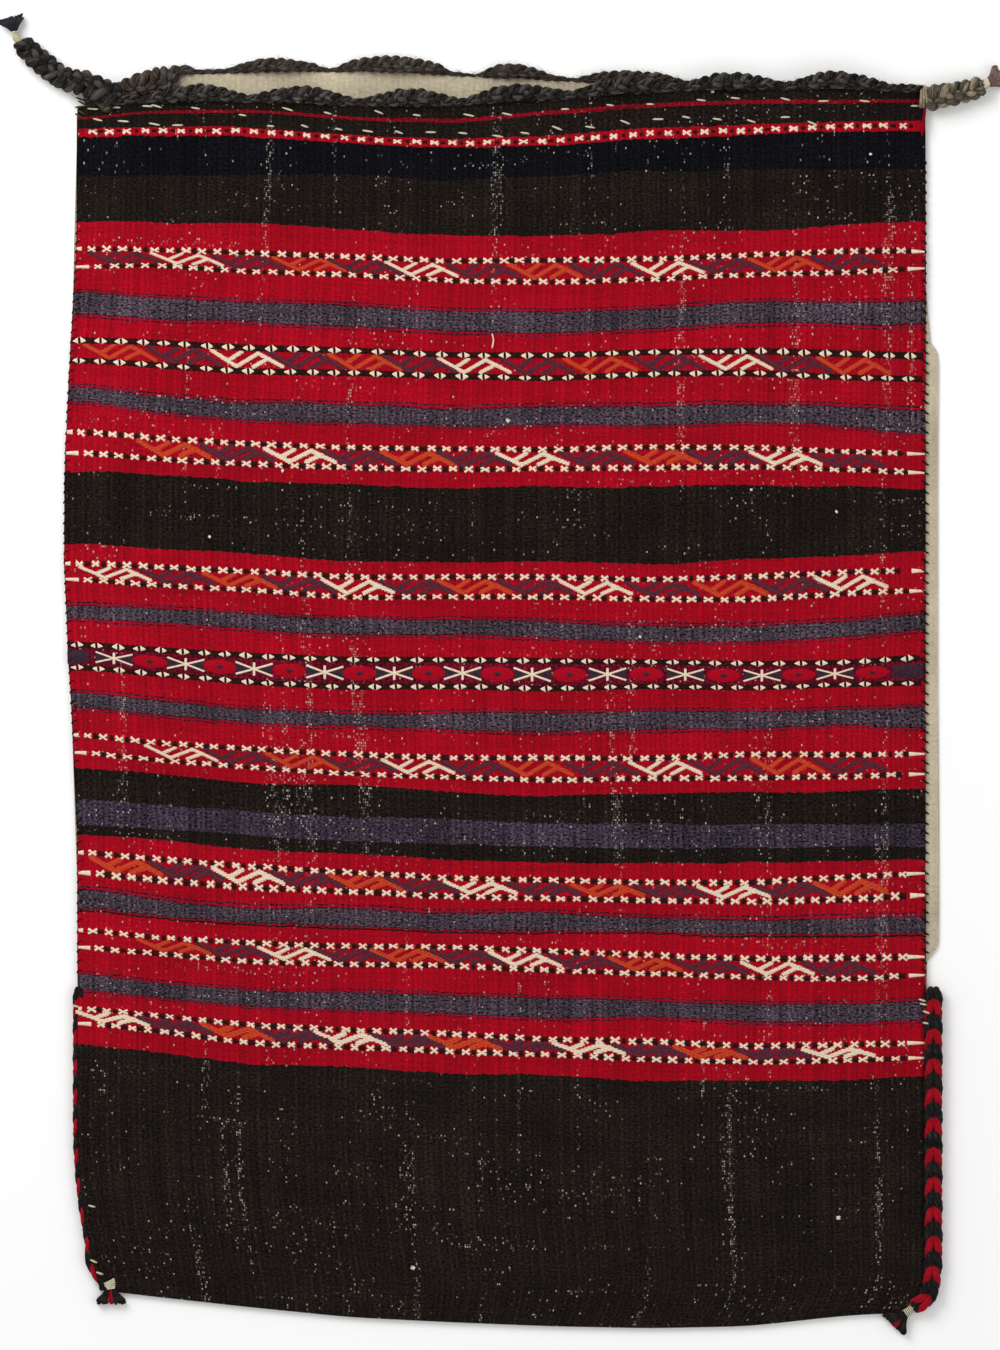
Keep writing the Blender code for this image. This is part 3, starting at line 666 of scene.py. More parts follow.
def plait_wool(name, colour, pale, share, uneven=0.3):
    """Hairy yarn with paler hairs along its twist."""
    n = Nodes(name, roughness=0.8)
    around, along = n.part(n.uv(), 0), n.part(n.uv(), 1)
    lean = n.plus(around, n.times(along, 0.6))
    hair = n.noise(n.make("CombineXYZ", n.times(lean, 1300.0), n.times(along, 160.0)).outputs[0])
    light = n.times(n.spread(hair, 0.48, 0.72), n.cloud(60, 60, 2.0, 0.35, 0.7, 0.15, share))
    shaded = n.shade(linear(colour), n.spread(hair, 0.25, 0.75, 1 - uneven, 1 + uneven))
    return n.finish(n.mix(light, shaded, linear(pale)), hair, 0.0007)


def finish_piece(piece, slot_name, *nodes):
    """Ties a piece to its body and hides the solids that it replaces. slot_name is not used."""
    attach(piece, "root")
    if nodes:
        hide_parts(*nodes)
    return piece


def front_rows():
    """Depths of the front's rows of faces: at the lines of weft, at the bands' edges, and evenly between."""
    marks = set(LINE_DEPTHS)
    outside, inside = BAND_SLOPES
    for _, upper, lower in bands():
        marks |= {upper - outside, upper - inside, lower + inside, lower + outside}
    marks = sorted(marks)
    rows = [0.0]
    for start, end in zip(marks, marks[1:]):
        if end - start > ROWS_APART:
            rows += list(np.linspace(start, end, math.ceil((end - start) / ROW_PITCH) + 1)[1:])
    return np.array(rows)


def back_rows(low, count):
    """Shares of the back's height for its rows of faces, closer together where the strip begins and ends."""
    fades = np.arange(5) * STRIP_FADE / 4
    turns = np.concatenate([STRIP_LOW + fades, STRIP_HIGH - fades]) / BACK_LENGTH
    return np.unique(np.concatenate([np.linspace(low, 1, count), turns]))


def woven_cloth(patterned, ivory):
    """The one length of cloth: back, fold and front, with both faces and its edges."""
    width = LEFT_SIDE + RIGHT_SIDE
    columns = round(width / RIB) * RIB_COLUMNS
    share = np.arange(columns + 1) / columns
    across = share * width
    ribs = RIB_HEIGHT * (np.abs(np.sin(np.pi * across / RIB)) - RIB_LEVEL)
    ribs[[0, -1]] = 0
    inside = smooth(np.minimum(share, 1 - share) / 0.03)
    share = share + RIB_SPREAD / width * waves(across, 0, 61, 0.030) * inside
    edge = np.minimum(across, across[-1] - across)
    lip = np.clip(1 - edge / SIDE_LIP, 0, 1)
    sheet_rows, uvs, kinds = [], [], []

    def placed(height, right_side, stray):
        """A row of points across the cloth. height gives y for their places across."""
        x = -LEFT_SIDE + share * width
        for _ in range(2):
            y = height(x)
            low = left_x(y) + SIDE_STRAY * waves(y, 0, 11, STRAY_PITCH)
            high = right_side(y) + stray * waves(y, 0, 12, STRAY_PITCH)
            x = low + (high - low) * share
        return x, y

    def front_xy(depth):
        return placed(lambda x: front_y(x, depth), right_x, SIDE_STRAY)

    def back_xy(up):
        def height(x):
            fold = front_y(x, FRONT_DEPTH)
            return fold + (back_edge_y(x) - fold) * up

        return placed(height, back_right_x, BACK_STRAY)

    def add(x, y, z, v, kind):
        sheet_rows.append(np.stack(np.broadcast_arrays(x, y, z), -1))
        uvs.append(np.stack(np.broadcast_arrays(across, v), -1))
        kinds.append(kind)

    # All round the cloth: the back's outer face, the fold, the front, its mouth edge, the inner faces, and
    # the back's mouth edge. A row's kind is 0 for patterned wool and 1 for ivory.
    outer_back = back_rows(0.004, BACK_ROWS)[::-1]
    for up in outer_back:
        x, y = back_xy(up)
        add(x, y, GROUND_GAP + lip * BACK_LIP + (RIB_HEIGHT - ribs) / 4, FRONT_DEPTH + up * BACK_LENGTH, 1)
    x, y = front_xy(FRONT_DEPTH)
    top = top_z(x, y, np.full_like(x, FRONT_DEPTH))
    for turn in FOLD_TURNS:
        z = top / 2 * (1 - np.cos(turn)) + lip * BACK_LIP * np.cos(turn)
        add(x, y - CLOTH * np.sin(turn), z, FRONT_DEPTH + CLOTH * (1.6 - turn / 2), 0)
    outer = front_rows()[::-1]
    for depth in outer:
        x, y = front_xy(depth)
        z = top_z(x, y, np.full_like(x, depth)) + ribs * smooth(edge / 0.004) - lip * FRONT_LIP
        add(x, y, z, depth, 0)
    x, y = front_xy(0.0)
    top = top_z(x, y, np.zeros_like(x))
    for turn in MOUTH_TURNS:
        z = top - CLOTH / 2 * (1 - math.cos(turn)) + (0.5 - turn / np.pi) * lip * BACK_LIP
        add(x, y + CLOTH / 2 * math.sin(turn), z, 0.0, 0)
    inner = np.linspace(0.0, 1.0, 9) * FRONT_DEPTH
    for depth in inner:
        x, y = front_xy(depth)
        add(x, y, top_z(x, y, np.full_like(x, depth)) - CLOTH + lip * FRONT_INNER_LIP, depth, 0)
    for up in back_rows(0.0, INNER_ROWS):
        x, y = back_xy(up)
        add(x, y, CLOTH - 0.0002 - lip * BACK_INNER_LIP, FRONT_DEPTH + up * BACK_LENGTH, 1)
    x, y = back_xy(1.0)
    for turn in MOUTH_TURNS:
        add(x, y + CLOTH / 2 * math.sin(turn), CLOTH / 2 * (1 + math.cos(turn)), FRONT_DEPTH + 1, 1)

    shell = Shell()
    points, uv = np.array(sheet_rows), np.array(uvs)
    index = shell.grid(points[:, ::-1], uv[:, ::-1])
    for row, (kind, next_kind) in enumerate(zip(kinds, kinds[1:])):
        dark = row in (len(outer_back) - 1, len(outer_back) - 2)
        if kind == 1 and next_kind == 1 and not dark:
            shell.slots[row * columns:(row + 1) * columns] = [1] * columns
    for column in range(columns):
        corners = (index[-1, column], index[-1, column + 1], index[0, column + 1], index[0, column])
        shell.face(corners, uv[[-1, -1, 0, 0], 0], 1)
    outer_end = len(outer_back) + len(FOLD_TURNS) + len(outer) + 2
    inner_end = outer_end + len(inner) + 1
    for column, turned in ((0, False), (columns, True)):
        line = index[:, column]
        into = [line[-2], *line[inner_end:-3][::-1], *line[outer_end:inner_end][::-1]]
        zip_edges(shell, points, line[:outer_end], into, kinds, turned)
    return shell.build("woven_cloth", patterned, ivory)


def zip_edges(shell, points, outer, inner, kinds, turned):
    """Closes a side of the cloth between its outer and its inner edge, which differ in number of points."""
    flat = points[:, ::-1].reshape(-1, 3)

    def lengths(line):
        run = length_along(flat[line])
        return run / run[-1]

    first, second = lengths(outer), lengths(inner)
    i = j = 0
    while i < len(outer) - 1 or j < len(inner) - 1:
        step_outer = j == len(inner) - 1 or (i < len(outer) - 1 and first[i + 1] <= second[j + 1])
        corners = [outer[i], inner[j], outer[i + 1] if step_outer else inner[j + 1]]
        if turned:
            corners.reverse()
        shell.face(corners, [(0, FRONT_DEPTH)] * 3, kinds[i])
        i, j = (i + 1, j) if step_outer else (i, j + 1)


def in_mm(x, depth):
    """Points across and along the cloth, given in mm."""
    return np.stack(np.broadcast_arrays(x, depth), 1) * MM


def cross(shell, x, depth, rng, width=3.6, height=2.1):
    """A small cross: two floats over each other, all sizes in mm."""
    width *= rng.uniform(0.8, 1.1)
    for way in (-1, 1):
        t = np.linspace(-1, 1, 5)
        tall = height * rng.uniform(0.7, 1.15)
        points = in_mm(x + t * width, depth + way * t * tall + rng.uniform(-0.3, 0.3))
        half = np.array([1.15, 1.0, 0.7, 1.0, 1.15]) * MM * rng.uniform(0.8, 1.1)
        yarn(shell, points, half, BROCADE_CROWN)


def square(shell, x, depth, rng, half=2.9, tall=2.4):
    """A dark square between two crosses."""
    points = in_mm(x + np.linspace(-half, half, 4) * rng.uniform(0.85, 1.2), depth)
    yarn(shell, points, tall * rng.uniform(0.85, 1.1) * MM, BLOCK_CROWN, lift=0.0)


def arrowhead(shell, x, depth, way, rng):
    """A triangle whose point is towards way."""
    t = np.linspace(0, 1, 4)
    points = in_mm(x + way * t * 5.3 * rng.uniform(0.85, 1.05), depth + rng.uniform(-0.3, 0.3))
    half = np.interp(t, (0, 1), (2.8, 0.4)) * MM * rng.uniform(0.85, 1.05)
    yarn(shell, points, half, BROCADE_CROWN)


def row_reach(depth):
    """Where a row of the front begins and ends, between the seams, all in mm."""
    y = front_y((-LEFT_SIDE, RIGHT_SIDE), depth * MM)
    return float(left_x(y[0])) / MM + 0.8, float(right_x(y[1])) / MM - 0.8


def cross_row(ivory, black, depth, start, rng):
    """Crosses with dark squares between them. The row runs out in long floats at the seams."""
    low, high = row_reach(depth)
    for x in np.arange(low + start, high - 17, CROSS_PITCH):
        cross(ivory, x + rng.uniform(-0.7, 0.7), depth + rng.uniform(-0.3, 0.3), rng)
        square(black, x + CROSS_PITCH / 2 + rng.uniform(-0.4, 0.4), depth, rng)
    last = high - rng.uniform(11, 16)
    for places, halves in (((low, low + start - 8), (1.2, 1.9)), ((last, high), (1.9, 0.8))):
        yarn(ivory, in_mm(np.linspace(*places, 6), depth), np.linspace(*halves, 6) * MM, BROCADE_CROWN)


def arrow_row(ivory, black, depth, rng):
    """Pairs of ivory triangles on a dark bar."""
    low, high = row_reach(depth)
    yarn(black, in_mm(np.arange(low, high, 4.0), depth), 2.7 * MM, BLOCK_CROWN, lift=0.0)
    for x in np.arange(low + 6.5, high - 5, ARROW_PITCH):
        x += rng.uniform(-0.7, 0.7)
        arrowhead(ivory, x - 0.6, depth, -1, rng)
        arrowhead(ivory, x + 0.6, depth, 1, rng)


def motif(shell, x, depth, rng, tall, stroke):
    """The hooked zigzag, in rows of floats."""
    xs = np.arange(-33, 33.01, 0.5)
    for y in np.arange(-7.2, 7.21, WEFT / MM):
        inside = np.zeros(len(xs), bool)
        for (x0, y0), (x1, y1) in MOTIF:
            y0, y1 = y0 * tall, y1 * tall
            length = (x1 - x0) ** 2 + (y1 - y0) ** 2
            t = np.clip(((xs - x0) * (x1 - x0) + (y - y0) * (y1 - y0)) / length, 0, 1)
            far = np.hypot(xs - x0 - t * (x1 - x0), y - y0 - t * (y1 - y0))
            inside |= far < stroke
        edges = np.flatnonzero(np.diff(np.concatenate([[0], inside.astype(int), [0]])))
        for start, end in zip(edges[::2], edges[1::2]):
            low = xs[start] - 0.3 + rng.uniform(-0.25, 0.25)
            high = xs[end - 1] + 0.3 + rng.uniform(-0.25, 0.25)
            count = max(3, int((high - low) / 2.2) + 2)
            half = np.full(count, WEFT * 0.56)
            half[[0, -1]] *= 0.6
            yarn(shell, in_mm(x + np.linspace(low, high, count), depth - y), half, 0.00055)


def brocade():
    """All the motifs, one shell for each colour of yarn."""
    rng = np.random.default_rng(7)
    ivory, black, orange, blue, red, slate = (Shell() for _ in range(6))
    for (kind, upper, lower), (pale, warm) in zip(bands(), MOTIFS):
        upper, lower = upper / MM, lower / MM
        middle = (upper + lower) / 2
        tall = (lower - upper - 5.2) / 12.2
        for row, depth in enumerate((upper, lower)):
            if kind == "cross":
                cross_row(ivory, black, depth, 11 + row * CROSS_PITCH / 2 + rng.uniform(0, 2), rng)
            else:
                arrow_row(ivory, black, depth, rng)
        if kind == "star":
            star_band(ivory, slate, red, middle)
            continue
        found = sorted(pale + warm)
        between = [(a + b) / 2 for a, b in zip(found, found[1:])]
        ends = [found[0] - MOTIF_STEP, found[-1] + MOTIF_STEP]
        between += [x for x in ends if MOTIF_REACH[0] < x < MOTIF_REACH[1]]
        for shell, places, stroke in zip((ivory, orange, blue), (pale, warm, between), STROKES):
            for x in places:
                motif(shell, x, middle, rng, tall, stroke)
    header = LINE_DEPTHS[2] / MM
    for x in np.arange(*HEADER_REACH, HEADER_PITCH):
        if rng.uniform() < 0.95:
            cross(ivory, x + rng.uniform(-0.9, 0.9), header + rng.uniform(-0.4, 0.4), rng, 3.4, 1.8)
        square(black, x + 7.6, header, rng, 1.9, 1.5)
    return ivory, black, orange, blue, red, slate


def star_band(ivory, slate, red, depth):
    """Six-armed stars with red lozenges between them."""
    t = np.linspace(-1, 1, 9)
    for x in STARS:
        for way in (-1, 1):
            yarn(ivory, in_mm(x + t * 15.8, depth + way * t * 5.6), 0.95 * MM, 0.0008)
            yarn(slate, in_mm(x + way * (9.3 + t * 6.6), depth), (2.9 + t * 2.3) * MM, BLOCK_CROWN, lift=0.0)
        yarn(ivory, in_mm(x, depth + t * 6.0), 1.1 * MM, 0.0009)
    for low, high in ((-366, -348), (334, 361)):
        yarn(slate, in_mm(np.linspace(low, high, 9), depth), 7.5 * MM, 0.0002, lift=0.0)
    for x in [(a + b) / 2 for a, b in zip(STARS, STARS[1:])] + [LAST_LOZENGE]:
        yarn(red, in_mm(x + t * 14.5, depth), 6.8 * np.sqrt(1 - (0.97 * t) ** 2) * MM, 0.0004, lift=0.0)
        yarn(slate, in_mm(x + t * 3.2, depth), (2.4 - 2 * np.abs(t)) * MM, 0.0004, lift=0.0005)


# Plaits.
SCALLOP_PITCH = 0.091
SCALLOP_POWER = 1.3
FRONT_VALLEY = -0.302
LOOP_HALF = 0.0036       # half the front plait's width between its loops
LOOP_RISE = 0.0045       # how much it gains in them
LOOP_ENDING = 0.036      # over which they run out at the right
PLAIT_SEAT = 1.08        # from a plait's lower side to its middle, as a share of half its width
PLAIT_TURN = 0.027
PLAIT_SWING, PLAIT_RISE, PLAIT_STRAND = 0.56, 0.34, 0.27  # shares of half the plait's width
YARN_SPACING = 0.92      # share of a strand's radius at which its three yarns lie
YARN_TURN = 0.021
BLUNT = 0.004            # over which the ends draw in
PATH_STEP = 0.0012
CURVE_SAMPLES = 16       # on each stretch of a curve, before it is cut into even steps
PLY_DEPTH = 0.12         # how deep the grooves between twisted yarns are, as a share of the radius
WAVES = 7                # in one kind of unevenness
WAVES_REACH = 4          # about how far they rise together
NECK = 0.0023            # radius of a tied end
TIE_WIRE = 0.0006
TUFT_STRANDS = 110
TUFT_STRAND = 0.0010     # radius

# Upper side of the back's plait, in the photograph's pixels. Between its loops it is drawn out thin.
BACK_PLAIT_TOP = (
    (100, 93), (110, 86), (125, 78), (142, 71), (167, 65), (188, 64), (196, 69), (228, 68), (240, 63),
    (262, 58), (285, 57), (310, 61), (326, 68), (336, 67), (350, 60), (370, 56), (392, 54), (420, 58),
    (440, 63), (448, 70), (478, 74), (486, 69), (498, 64), (516, 62), (532, 66), (552, 74), (575, 78),
    (600, 71), (628, 69), (660, 72), (685, 80), (720, 80), (900, 84),
)
BACK_PLAIT_SOFTNESS = 9  # points of its upper side that each is smoothed over
THINNEST = 0.0011        # half its width where it is drawn out
FIRST_LOOP_END = -0.268  # up to here the back's plait hangs down over its cloth
FIRST_LOOP_DROP = 0.0175
FIRST_LOOP_FADE = 0.022

# Routes: the photograph's pixels across and down, then the height in metres.
# Corner plaits: half the width, radius of the neck, half the tuft's spread, route, collar, neck and the
# tip of the tuft.
CORNER_PLAITS = {
    "left": (
        0.0103, NECK, 0.0110,
        ((122, 96, 0.0165), (111, 94.5, 0.0165), (99, 89.5, 0.0160), (88, 85, 0.0145), (74, 82, 0.0115),
         (61, 77, 0.0100), (50, 69.5, 0.0100), (41, 62, 0.0100), (33, 55, 0.0100), (26, 48, 0.0100),
         (22, 41, 0.0100)),
        (), ((20, 43, 0.0095), (16, 38, 0.0080), (14.5, 31, 0.0075)), (11, 18, 0.0070),
    ),
    "right": (
        0.0098, 0.0038, 0.0110,
        ((924, 99, 0.0105), (932, 98.5, 0.0105), (945, 95.5, 0.0103), (958, 93, 0.0100), (970, 90, 0.0098),
         (983, 86, 0.0090)),
        ((920, 99, 0.0100), (924, 99, 0.0100), (928, 98.5, 0.0100)),
        ((980, 86, 0.0085), (985, 84.5, 0.0080), (989, 83, 0.0075)), (1001, 76, 0.0072),
    ),
}
# Side cords: how far beyond the cloth's edge, height, radius, flatness, radius of the neck, half the tassel's
# spread, the route of the lower end, neck, tip of the tassel.
SIDE_CORDS = {
    "left": (
        0.0009, 0.0055, 0.0050, 0.72, 0.0050, 0.0125,
        ((90, 1258, 0.0055), (94, 1268, 0.0055), (99, 1277, 0.0055), (105, 1283, 0.0055)),
        ((108, 1281, 0.0060), (110, 1285, 0.0055), (111, 1289, 0.0050)), (111, 1303, 0.0045),
    ),
    "right": (
        0.0066, 0.0070, 0.0080, 0.9, 0.0030, 0.0125,
        ((932, 1274, 0.0070), (931, 1287, 0.0070), (924, 1300, 0.0070), (912, 1308, 0.0070)),
        ((914, 1307, 0.0070), (909, 1311, 0.0065), (905, 1314, 0.0060)), (894, 1325, 0.0045),
    ),
}
CORD_TURN = 0.0252
CORD_START = 0.0173      # from the top of the right cord to the middle of its first red chevron
CORD_SPACING, CORD_SWING, CORD_RISE = 0.40, 0.13, 0.36  # shares of the cord's radius
CORD_STRANDS = (0.44, 0.50)  # the same, for its red and its black strands


def spot(across, down, height=0.0):
    """A place in the photograph, in its pixels, on the sack."""
    return np.array([(across - MIDDLE_PIXEL) * PIXEL, (FOLD_PIXEL - down) * PIXEL, height])


def spots(places):
    return np.array([spot(*place) for place in places])


def draw_in(run, least):
    """Shares of the full thickness along a plait, with least at its ends."""
    return np.clip(np.minimum(run, run[-1] - run) / BLUNT + least, 0, 1)


def plait(shell, path, half, rng):
    """Three strands of three yarns each, laid over each other in turn; half is half the plait's width."""
    half = np.broadcast_to(np.asarray(half, float), len(path))
    _, side, up = frames(path)
    run = length_along(path)
    for k in range(3):
        angle = 2 * np.pi * (run / PLAIT_TURN + k / 3)
        swing, rise = half * PLAIT_SWING * np.sin(angle), half * PLAIT_RISE * np.sin(2 * angle)
        thick = half * PLAIT_STRAND * (1 + 0.10 * np.sin(run / 0.011 + k)) * draw_in(run, 0.45)
        for j in range(3):
            about = 2 * np.pi * (j / 3 + run / YARN_TURN + rng.uniform(-0.1, 0.1))
            across = swing + thick * YARN_SPACING * np.cos(about)
            above = rise + thick * YARN_SPACING * np.sin(about)
            line = path + side * across[:, None] + up * above[:, None]
            strand(shell, line, thick * rng.uniform(0.88, 1.1), sides=7, slot=j % 2)


def cord(shell, path, radius, flat):
    """A red and a black strand twisted together, twice, side by side and against each other: the colours meet
    in chevrons."""
    _, side, up = frames(path)
    run = length_along(path)
    for way in (-1, 1):
        for slot, share in enumerate(CORD_STRANDS):
            angle = np.pi / 2 - way * 2 * np.pi * (run - CORD_START) / CORD_TURN + slot * np.pi
            across = radius * (way * CORD_SPACING + CORD_SWING * np.cos(angle))
            above = radius * CORD_RISE * np.sin(angle) * flat
            line = path + side * across[:, None] + up * above[:, None]
            thick = radius * share * draw_in(run, 0.4)
            strand(shell, line, thick, sides=12, plies=3, turn=0.006, slot=slot, flat=flat)


def front_mouth_path():
    """Middle line and half width of the front's plait. It is straight below and looped above."""
    x = np.arange(-LEFT_SIDE + 0.006, RIGHT_SIDE - 0.002, PATH_STEP)
    loops = np.abs(np.sin(np.pi * (x - FRONT_VALLEY) / SCALLOP_PITCH)) ** SCALLOP_POWER
    half = LOOP_HALF + LOOP_RISE * loops * smooth((RIGHT_SIDE - 0.004 - x) / LOOP_ENDING)
    y = front_y(x, 0.0) - 0.0006 + half * PLAIT_SEAT + 0.0006 * waves(x, 0, 21, 0.05)
    z = top_z(x, front_y(x, 0.0), np.zeros_like(x)) - CLOTH / 2 + half * 0.5
    return np.stack([x, y, z], 1), half


def back_mouth_path():
    """The same for the back's plait, whose loops are longer and drawn out thin between."""
    tops = spots(BACK_PLAIT_TOP)
    x = np.arange(tops[0, 0], tops[-1, 0], PATH_STEP)
    soft = np.hanning(BACK_PLAIT_SOFTNESS)
    upper = np.pad(np.interp(x, tops[:, 0], tops[:, 1]), BACK_PLAIT_SOFTNESS // 2, "edge")
    upper = np.convolve(upper, soft / soft.sum(), "valid")
    lower = back_edge_y(x) - 0.0010 - FIRST_LOOP_DROP * smooth((FIRST_LOOP_END - x) / FIRST_LOOP_FADE)
    half = np.maximum((upper - lower) / 2 / PLAIT_SEAT, THINNEST)
    return np.stack([x, lower + half * PLAIT_SEAT, half * 0.85 + 0.0012], 1), half


def hairs(shell, path, reach, count, length, rng, slot=0):
    """Loose hairs that stand off from a path."""
    for _ in range(count):
        at = rng.integers(1, len(path) - 1)
        along = path[at + 1] - path[at - 1]
        along = along / np.linalg.norm(along)
        angle = rng.uniform(-0.3, np.pi + 0.3)
        out = np.cross(along, [0, 0, 1.0]) * math.cos(angle) + np.array([0, 0, 1.0]) * math.sin(angle)
        base = path[at] + out * reach[at] * 0.75
        lean = along * rng.choice([-1, 1]) * rng.uniform(0.2, 1.2) + out * rng.uniform(0.3, 0.9)
        size = length * rng.uniform(0.4, 1.3)
        t = np.linspace(0, 1, 5)[:, None]
        line = base + lean * size * t + np.array([0, 0, -1.0]) * size * rng.uniform(0, 0.4) * t ** 2
        line[:, 2] = np.maximum(line[:, 2], 0.0003)
        strand(shell, line, 0.00016 * np.linspace(1, 0.4, 5), sides=3, slot=slot)


def tuft(shell, neck, tip, end, rng, slots, width):
    """Cut strands that fan out from a neck to a tip that is twice end wide."""
    along = (tip - neck) / np.linalg.norm(tip - neck)
    side = np.cross(along, [0, 0, 1.0])
    side /= np.linalg.norm(side)
    t = np.linspace(0, 1, 8)[:, None]
    for _ in range(TUFT_STRANDS):
        place, high = rng.uniform(-1, 1), rng.uniform(-1, 1)
        base = neck + side * width * place * 0.8 + np.array([0, 0, NECK * high * 0.8])
        goal = tip + side * end * place + np.array([0, 0, 0.0035 * high])
        goal += along * rng.uniform(-0.003, 0.0015)
        line = base + (goal - base) * t - side * (end * place * 0.12) * np.sin(np.pi * t)
        line[:, 2] = np.maximum(line[:, 2], TUFT_STRAND)
        slot = slots[int((place + 1) / 2 * len(slots)) % len(slots)]
        strand(shell, line, tapered(8, TUFT_STRAND * rng.uniform(0.8, 1.3), 1, 0.7), sides=6, slot=slot)


def binding(shell, neck, radius, turns, wire=TIE_WIRE, flat=1.0, slot=0):
    """Thread wound round the length of a neck."""
    path = evenly(spots(neck), 0.0002)
    _, side, up = frames(path)
    angle = np.linspace(0, 2 * np.pi * turns, len(path))
    line = path + radius * (side * np.cos(angle)[:, None] + up * (flat * np.sin(angle))[:, None])
    strand(shell, line, wire, sides=6, slot=slot)


def bound_end(shell, neck, tip, spread, width, rng, slots, flat=1.0):
    """The neck under a tie, and the tuft beyond it."""
    neck = spots(neck)
    strand(shell, evenly(neck, PATH_STEP), width, sides=8, slot=slots[0], flat=flat)
    tuft(shell, neck[-1], spot(*tip), spread, rng, slots, width)


def tie(name, node, neck, width, turns, thread, flat=1.0):
    shell = Shell()
    binding(shell, neck, width + TIE_WIRE / 2, turns, flat=flat)
    finish_piece(shell.build(name, thread), "binding_thread", node)


def mouth_plaits(dark, grey, rng):
    """The looped plaits along both edges of the mouth."""
    brown = plait_wool("goat_hair_brown", "goat_brown", "hair_light", 0.7)
    for name, (path, half), wool in (("front", front_mouth_path(), dark), ("back", back_mouth_path(), brown)):
        shell = Shell()
        plait(shell, path, half, rng)
        hairs(shell, path, half, 700, 0.005, rng)
        finish_piece(shell.build(name + "_mouth_plait", wool, grey), "goat_hair", name + "_mouth_braid")


def corner_plaits(dark, grey, thread, rng):
    """The plaits that hang from the corners of the mouth, each with its tied end and its tuft."""
    blue = plait_wool("tuft_blue_black", "tuft_blue", "hair_light", 0.25)
    mixed = plait_wool("goat_hair_mixed", "tail_grey", "tail_light", 0.7, 0.45)
    pale = plait_wool("goat_hair_pale", "tail_pale", "tail_light", 0.7, 0.4)
    mauve = plait_wool("tuft_mauve", "tuft_brown", "tail_light", 0.4)
    for name, wools in (("left", (dark, grey, blue)), ("right", (mixed, pale, mauve))):
        half, width, spread, route, collar, neck, tip = CORNER_PLAITS[name]
        shell = Shell()
        path = evenly(spots(route), PATH_STEP)
        share = np.linspace(0, 1, len(path))
        halves = half * np.interp(share, (0, 0.10, 0.35, 0.6, 1), (0.85, 1.05, 1.08, 1, 0.92))
        plait(shell, path, halves, rng)
        hairs(shell, path, halves, 160, 0.005, rng)
        if collar:
            binding(shell, collar, 0.0074, 3, wire=0.0012, slot=1)
        bound_end(shell, neck, tip, spread, width, rng, (2,))
        finish_piece(shell.build(name + "_corner_plait", *wools), "goat_hair", name + "_tail")
        tie(name + "_corner_tie", name + "_tail_tie", neck, width, 8, thread)


def side_plaits(thread, rng):
    """The cords of red and black wool sewn along the lower sides; the left one is half under the cloth."""
    red = plait_wool("plait_red", "plait_red", "pink", 0.25, 0.35)
    black = plait_wool("plait_black", "plait_black", "hair_light", 0.2, 0.35)
    for name, edge_x in (("left", left_x), ("right", right_x)):
        beyond, height, radius, flat, width, spread, ending, neck, tip = SIDE_CORDS[name]
        ending = spots(ending)
        heights = np.linspace(SIDE_BRAID_TOP, ending[0][1] + 0.012, 9)
        route = [(float(edge_x(y)) + beyond, y, height) for y in heights]
        path = evenly(np.vstack([route, ending]), PATH_STEP)
        radii = radius * np.interp(np.linspace(0, 1, len(path)), (0, 0.03, 0.97, 1), (0.7, 1, 1, 0.75))
        shell = Shell()
        cord(shell, path, radii, flat)
        hairs(shell, path, radii, 150, 0.003, rng, slot=1)
        bound_end(shell, neck, tip, spread, width, rng, (1, 1, 0, 1, 1), flat=0.5)
        finish_piece(shell.build(name + "_side_plait", red, black), "plait_wool", name + "_side_braid")
        tie(name + "_side_tie", name + "_side_braid_tie", neck, width, 6, thread, flat=0.6)


# Piece, colour, how uneven it is, and how much of the red ground shows between its floats.
BROCADE_YARNS = (
    ("brocade_ivory", "ivory", 0.15, 0.0),
    ("brocade_black", "motif_black", 0.3, 0.12),
    ("brocade_orange", "orange", 0.25, 0.35),
    ("brocade_blue", "motif_blue", 0.35, 0.42),
    ("brocade_red", "red", 0.2, 0.0),
    ("brocade_slate", "dark_slate", 0.35, 0.12),
)


# Middles of the running stitches below the mouth, in the photograph's pixels.
HEM_STITCHES = (
    (93, 109), (117, 108), (148, 107), (157, 107), (196, 109), (288, 110), (328, 114), (379, 113), (417, 116),
    (469, 116), (507, 115), (565, 110), (610, 106), (650, 105), (701, 101), (735, 99), (785, 100), (823, 102),
    (864, 102), (915, 106), (98, 120), (124, 122), (155, 125), (178, 126), (243, 116), (271, 127), (305, 127),
    (339, 130), (368, 132), (399, 133), (431, 133), (463, 134), (498, 137), (525, 134), (557, 129),
    (590, 128), (625, 123), (658, 120), (686, 118), (717, 120), (751, 122), (785, 118), (812, 124),
)
# Ivory stitches that hold the side cords, and olive ones at the left corner of the mouth, in the same pixels.
CORD_STITCHES = ((76, 1006), (92, 1206), (94, 1261), (100, 1273), (922, 1000), (923, 1004), (926, 1012),
                 (926, 1023))
CORNER_STITCHES = ((80, 99), (82, 103), (79, 107), (81, 112), (79, 116))
# Bits of lint and ends of yarn on the front, in the same pixels, and their size in mm.
LINT = (
    (210, 537, 1.4), (413, 1267, 2.4), (838, 1217, 2.2), (508, 421, 2.4), (640, 637, 1.5), (751, 490, 1.4),
    (870, 155, 1.4), (712, 92, 2.2), (836, 512, 1.6), (283, 471, 1.8),
)
# The red yarn that runs down the edge below the right corner, in the same pixels and metres.
SELVEDGE = ((924.5, 104, 0.0085), (924.5, 112, 0.0080), (923.5, 121, 0.0078), (922.5, 130, 0.0074),
            (922, 136, 0.0060))
SEAM_STITCH = 0.0085     # from one overcast stitch to the next
LOOSE_END = ((492, 334, 0.0225), (493.5, 341, 0.0232), (492, 349, 0.0222))


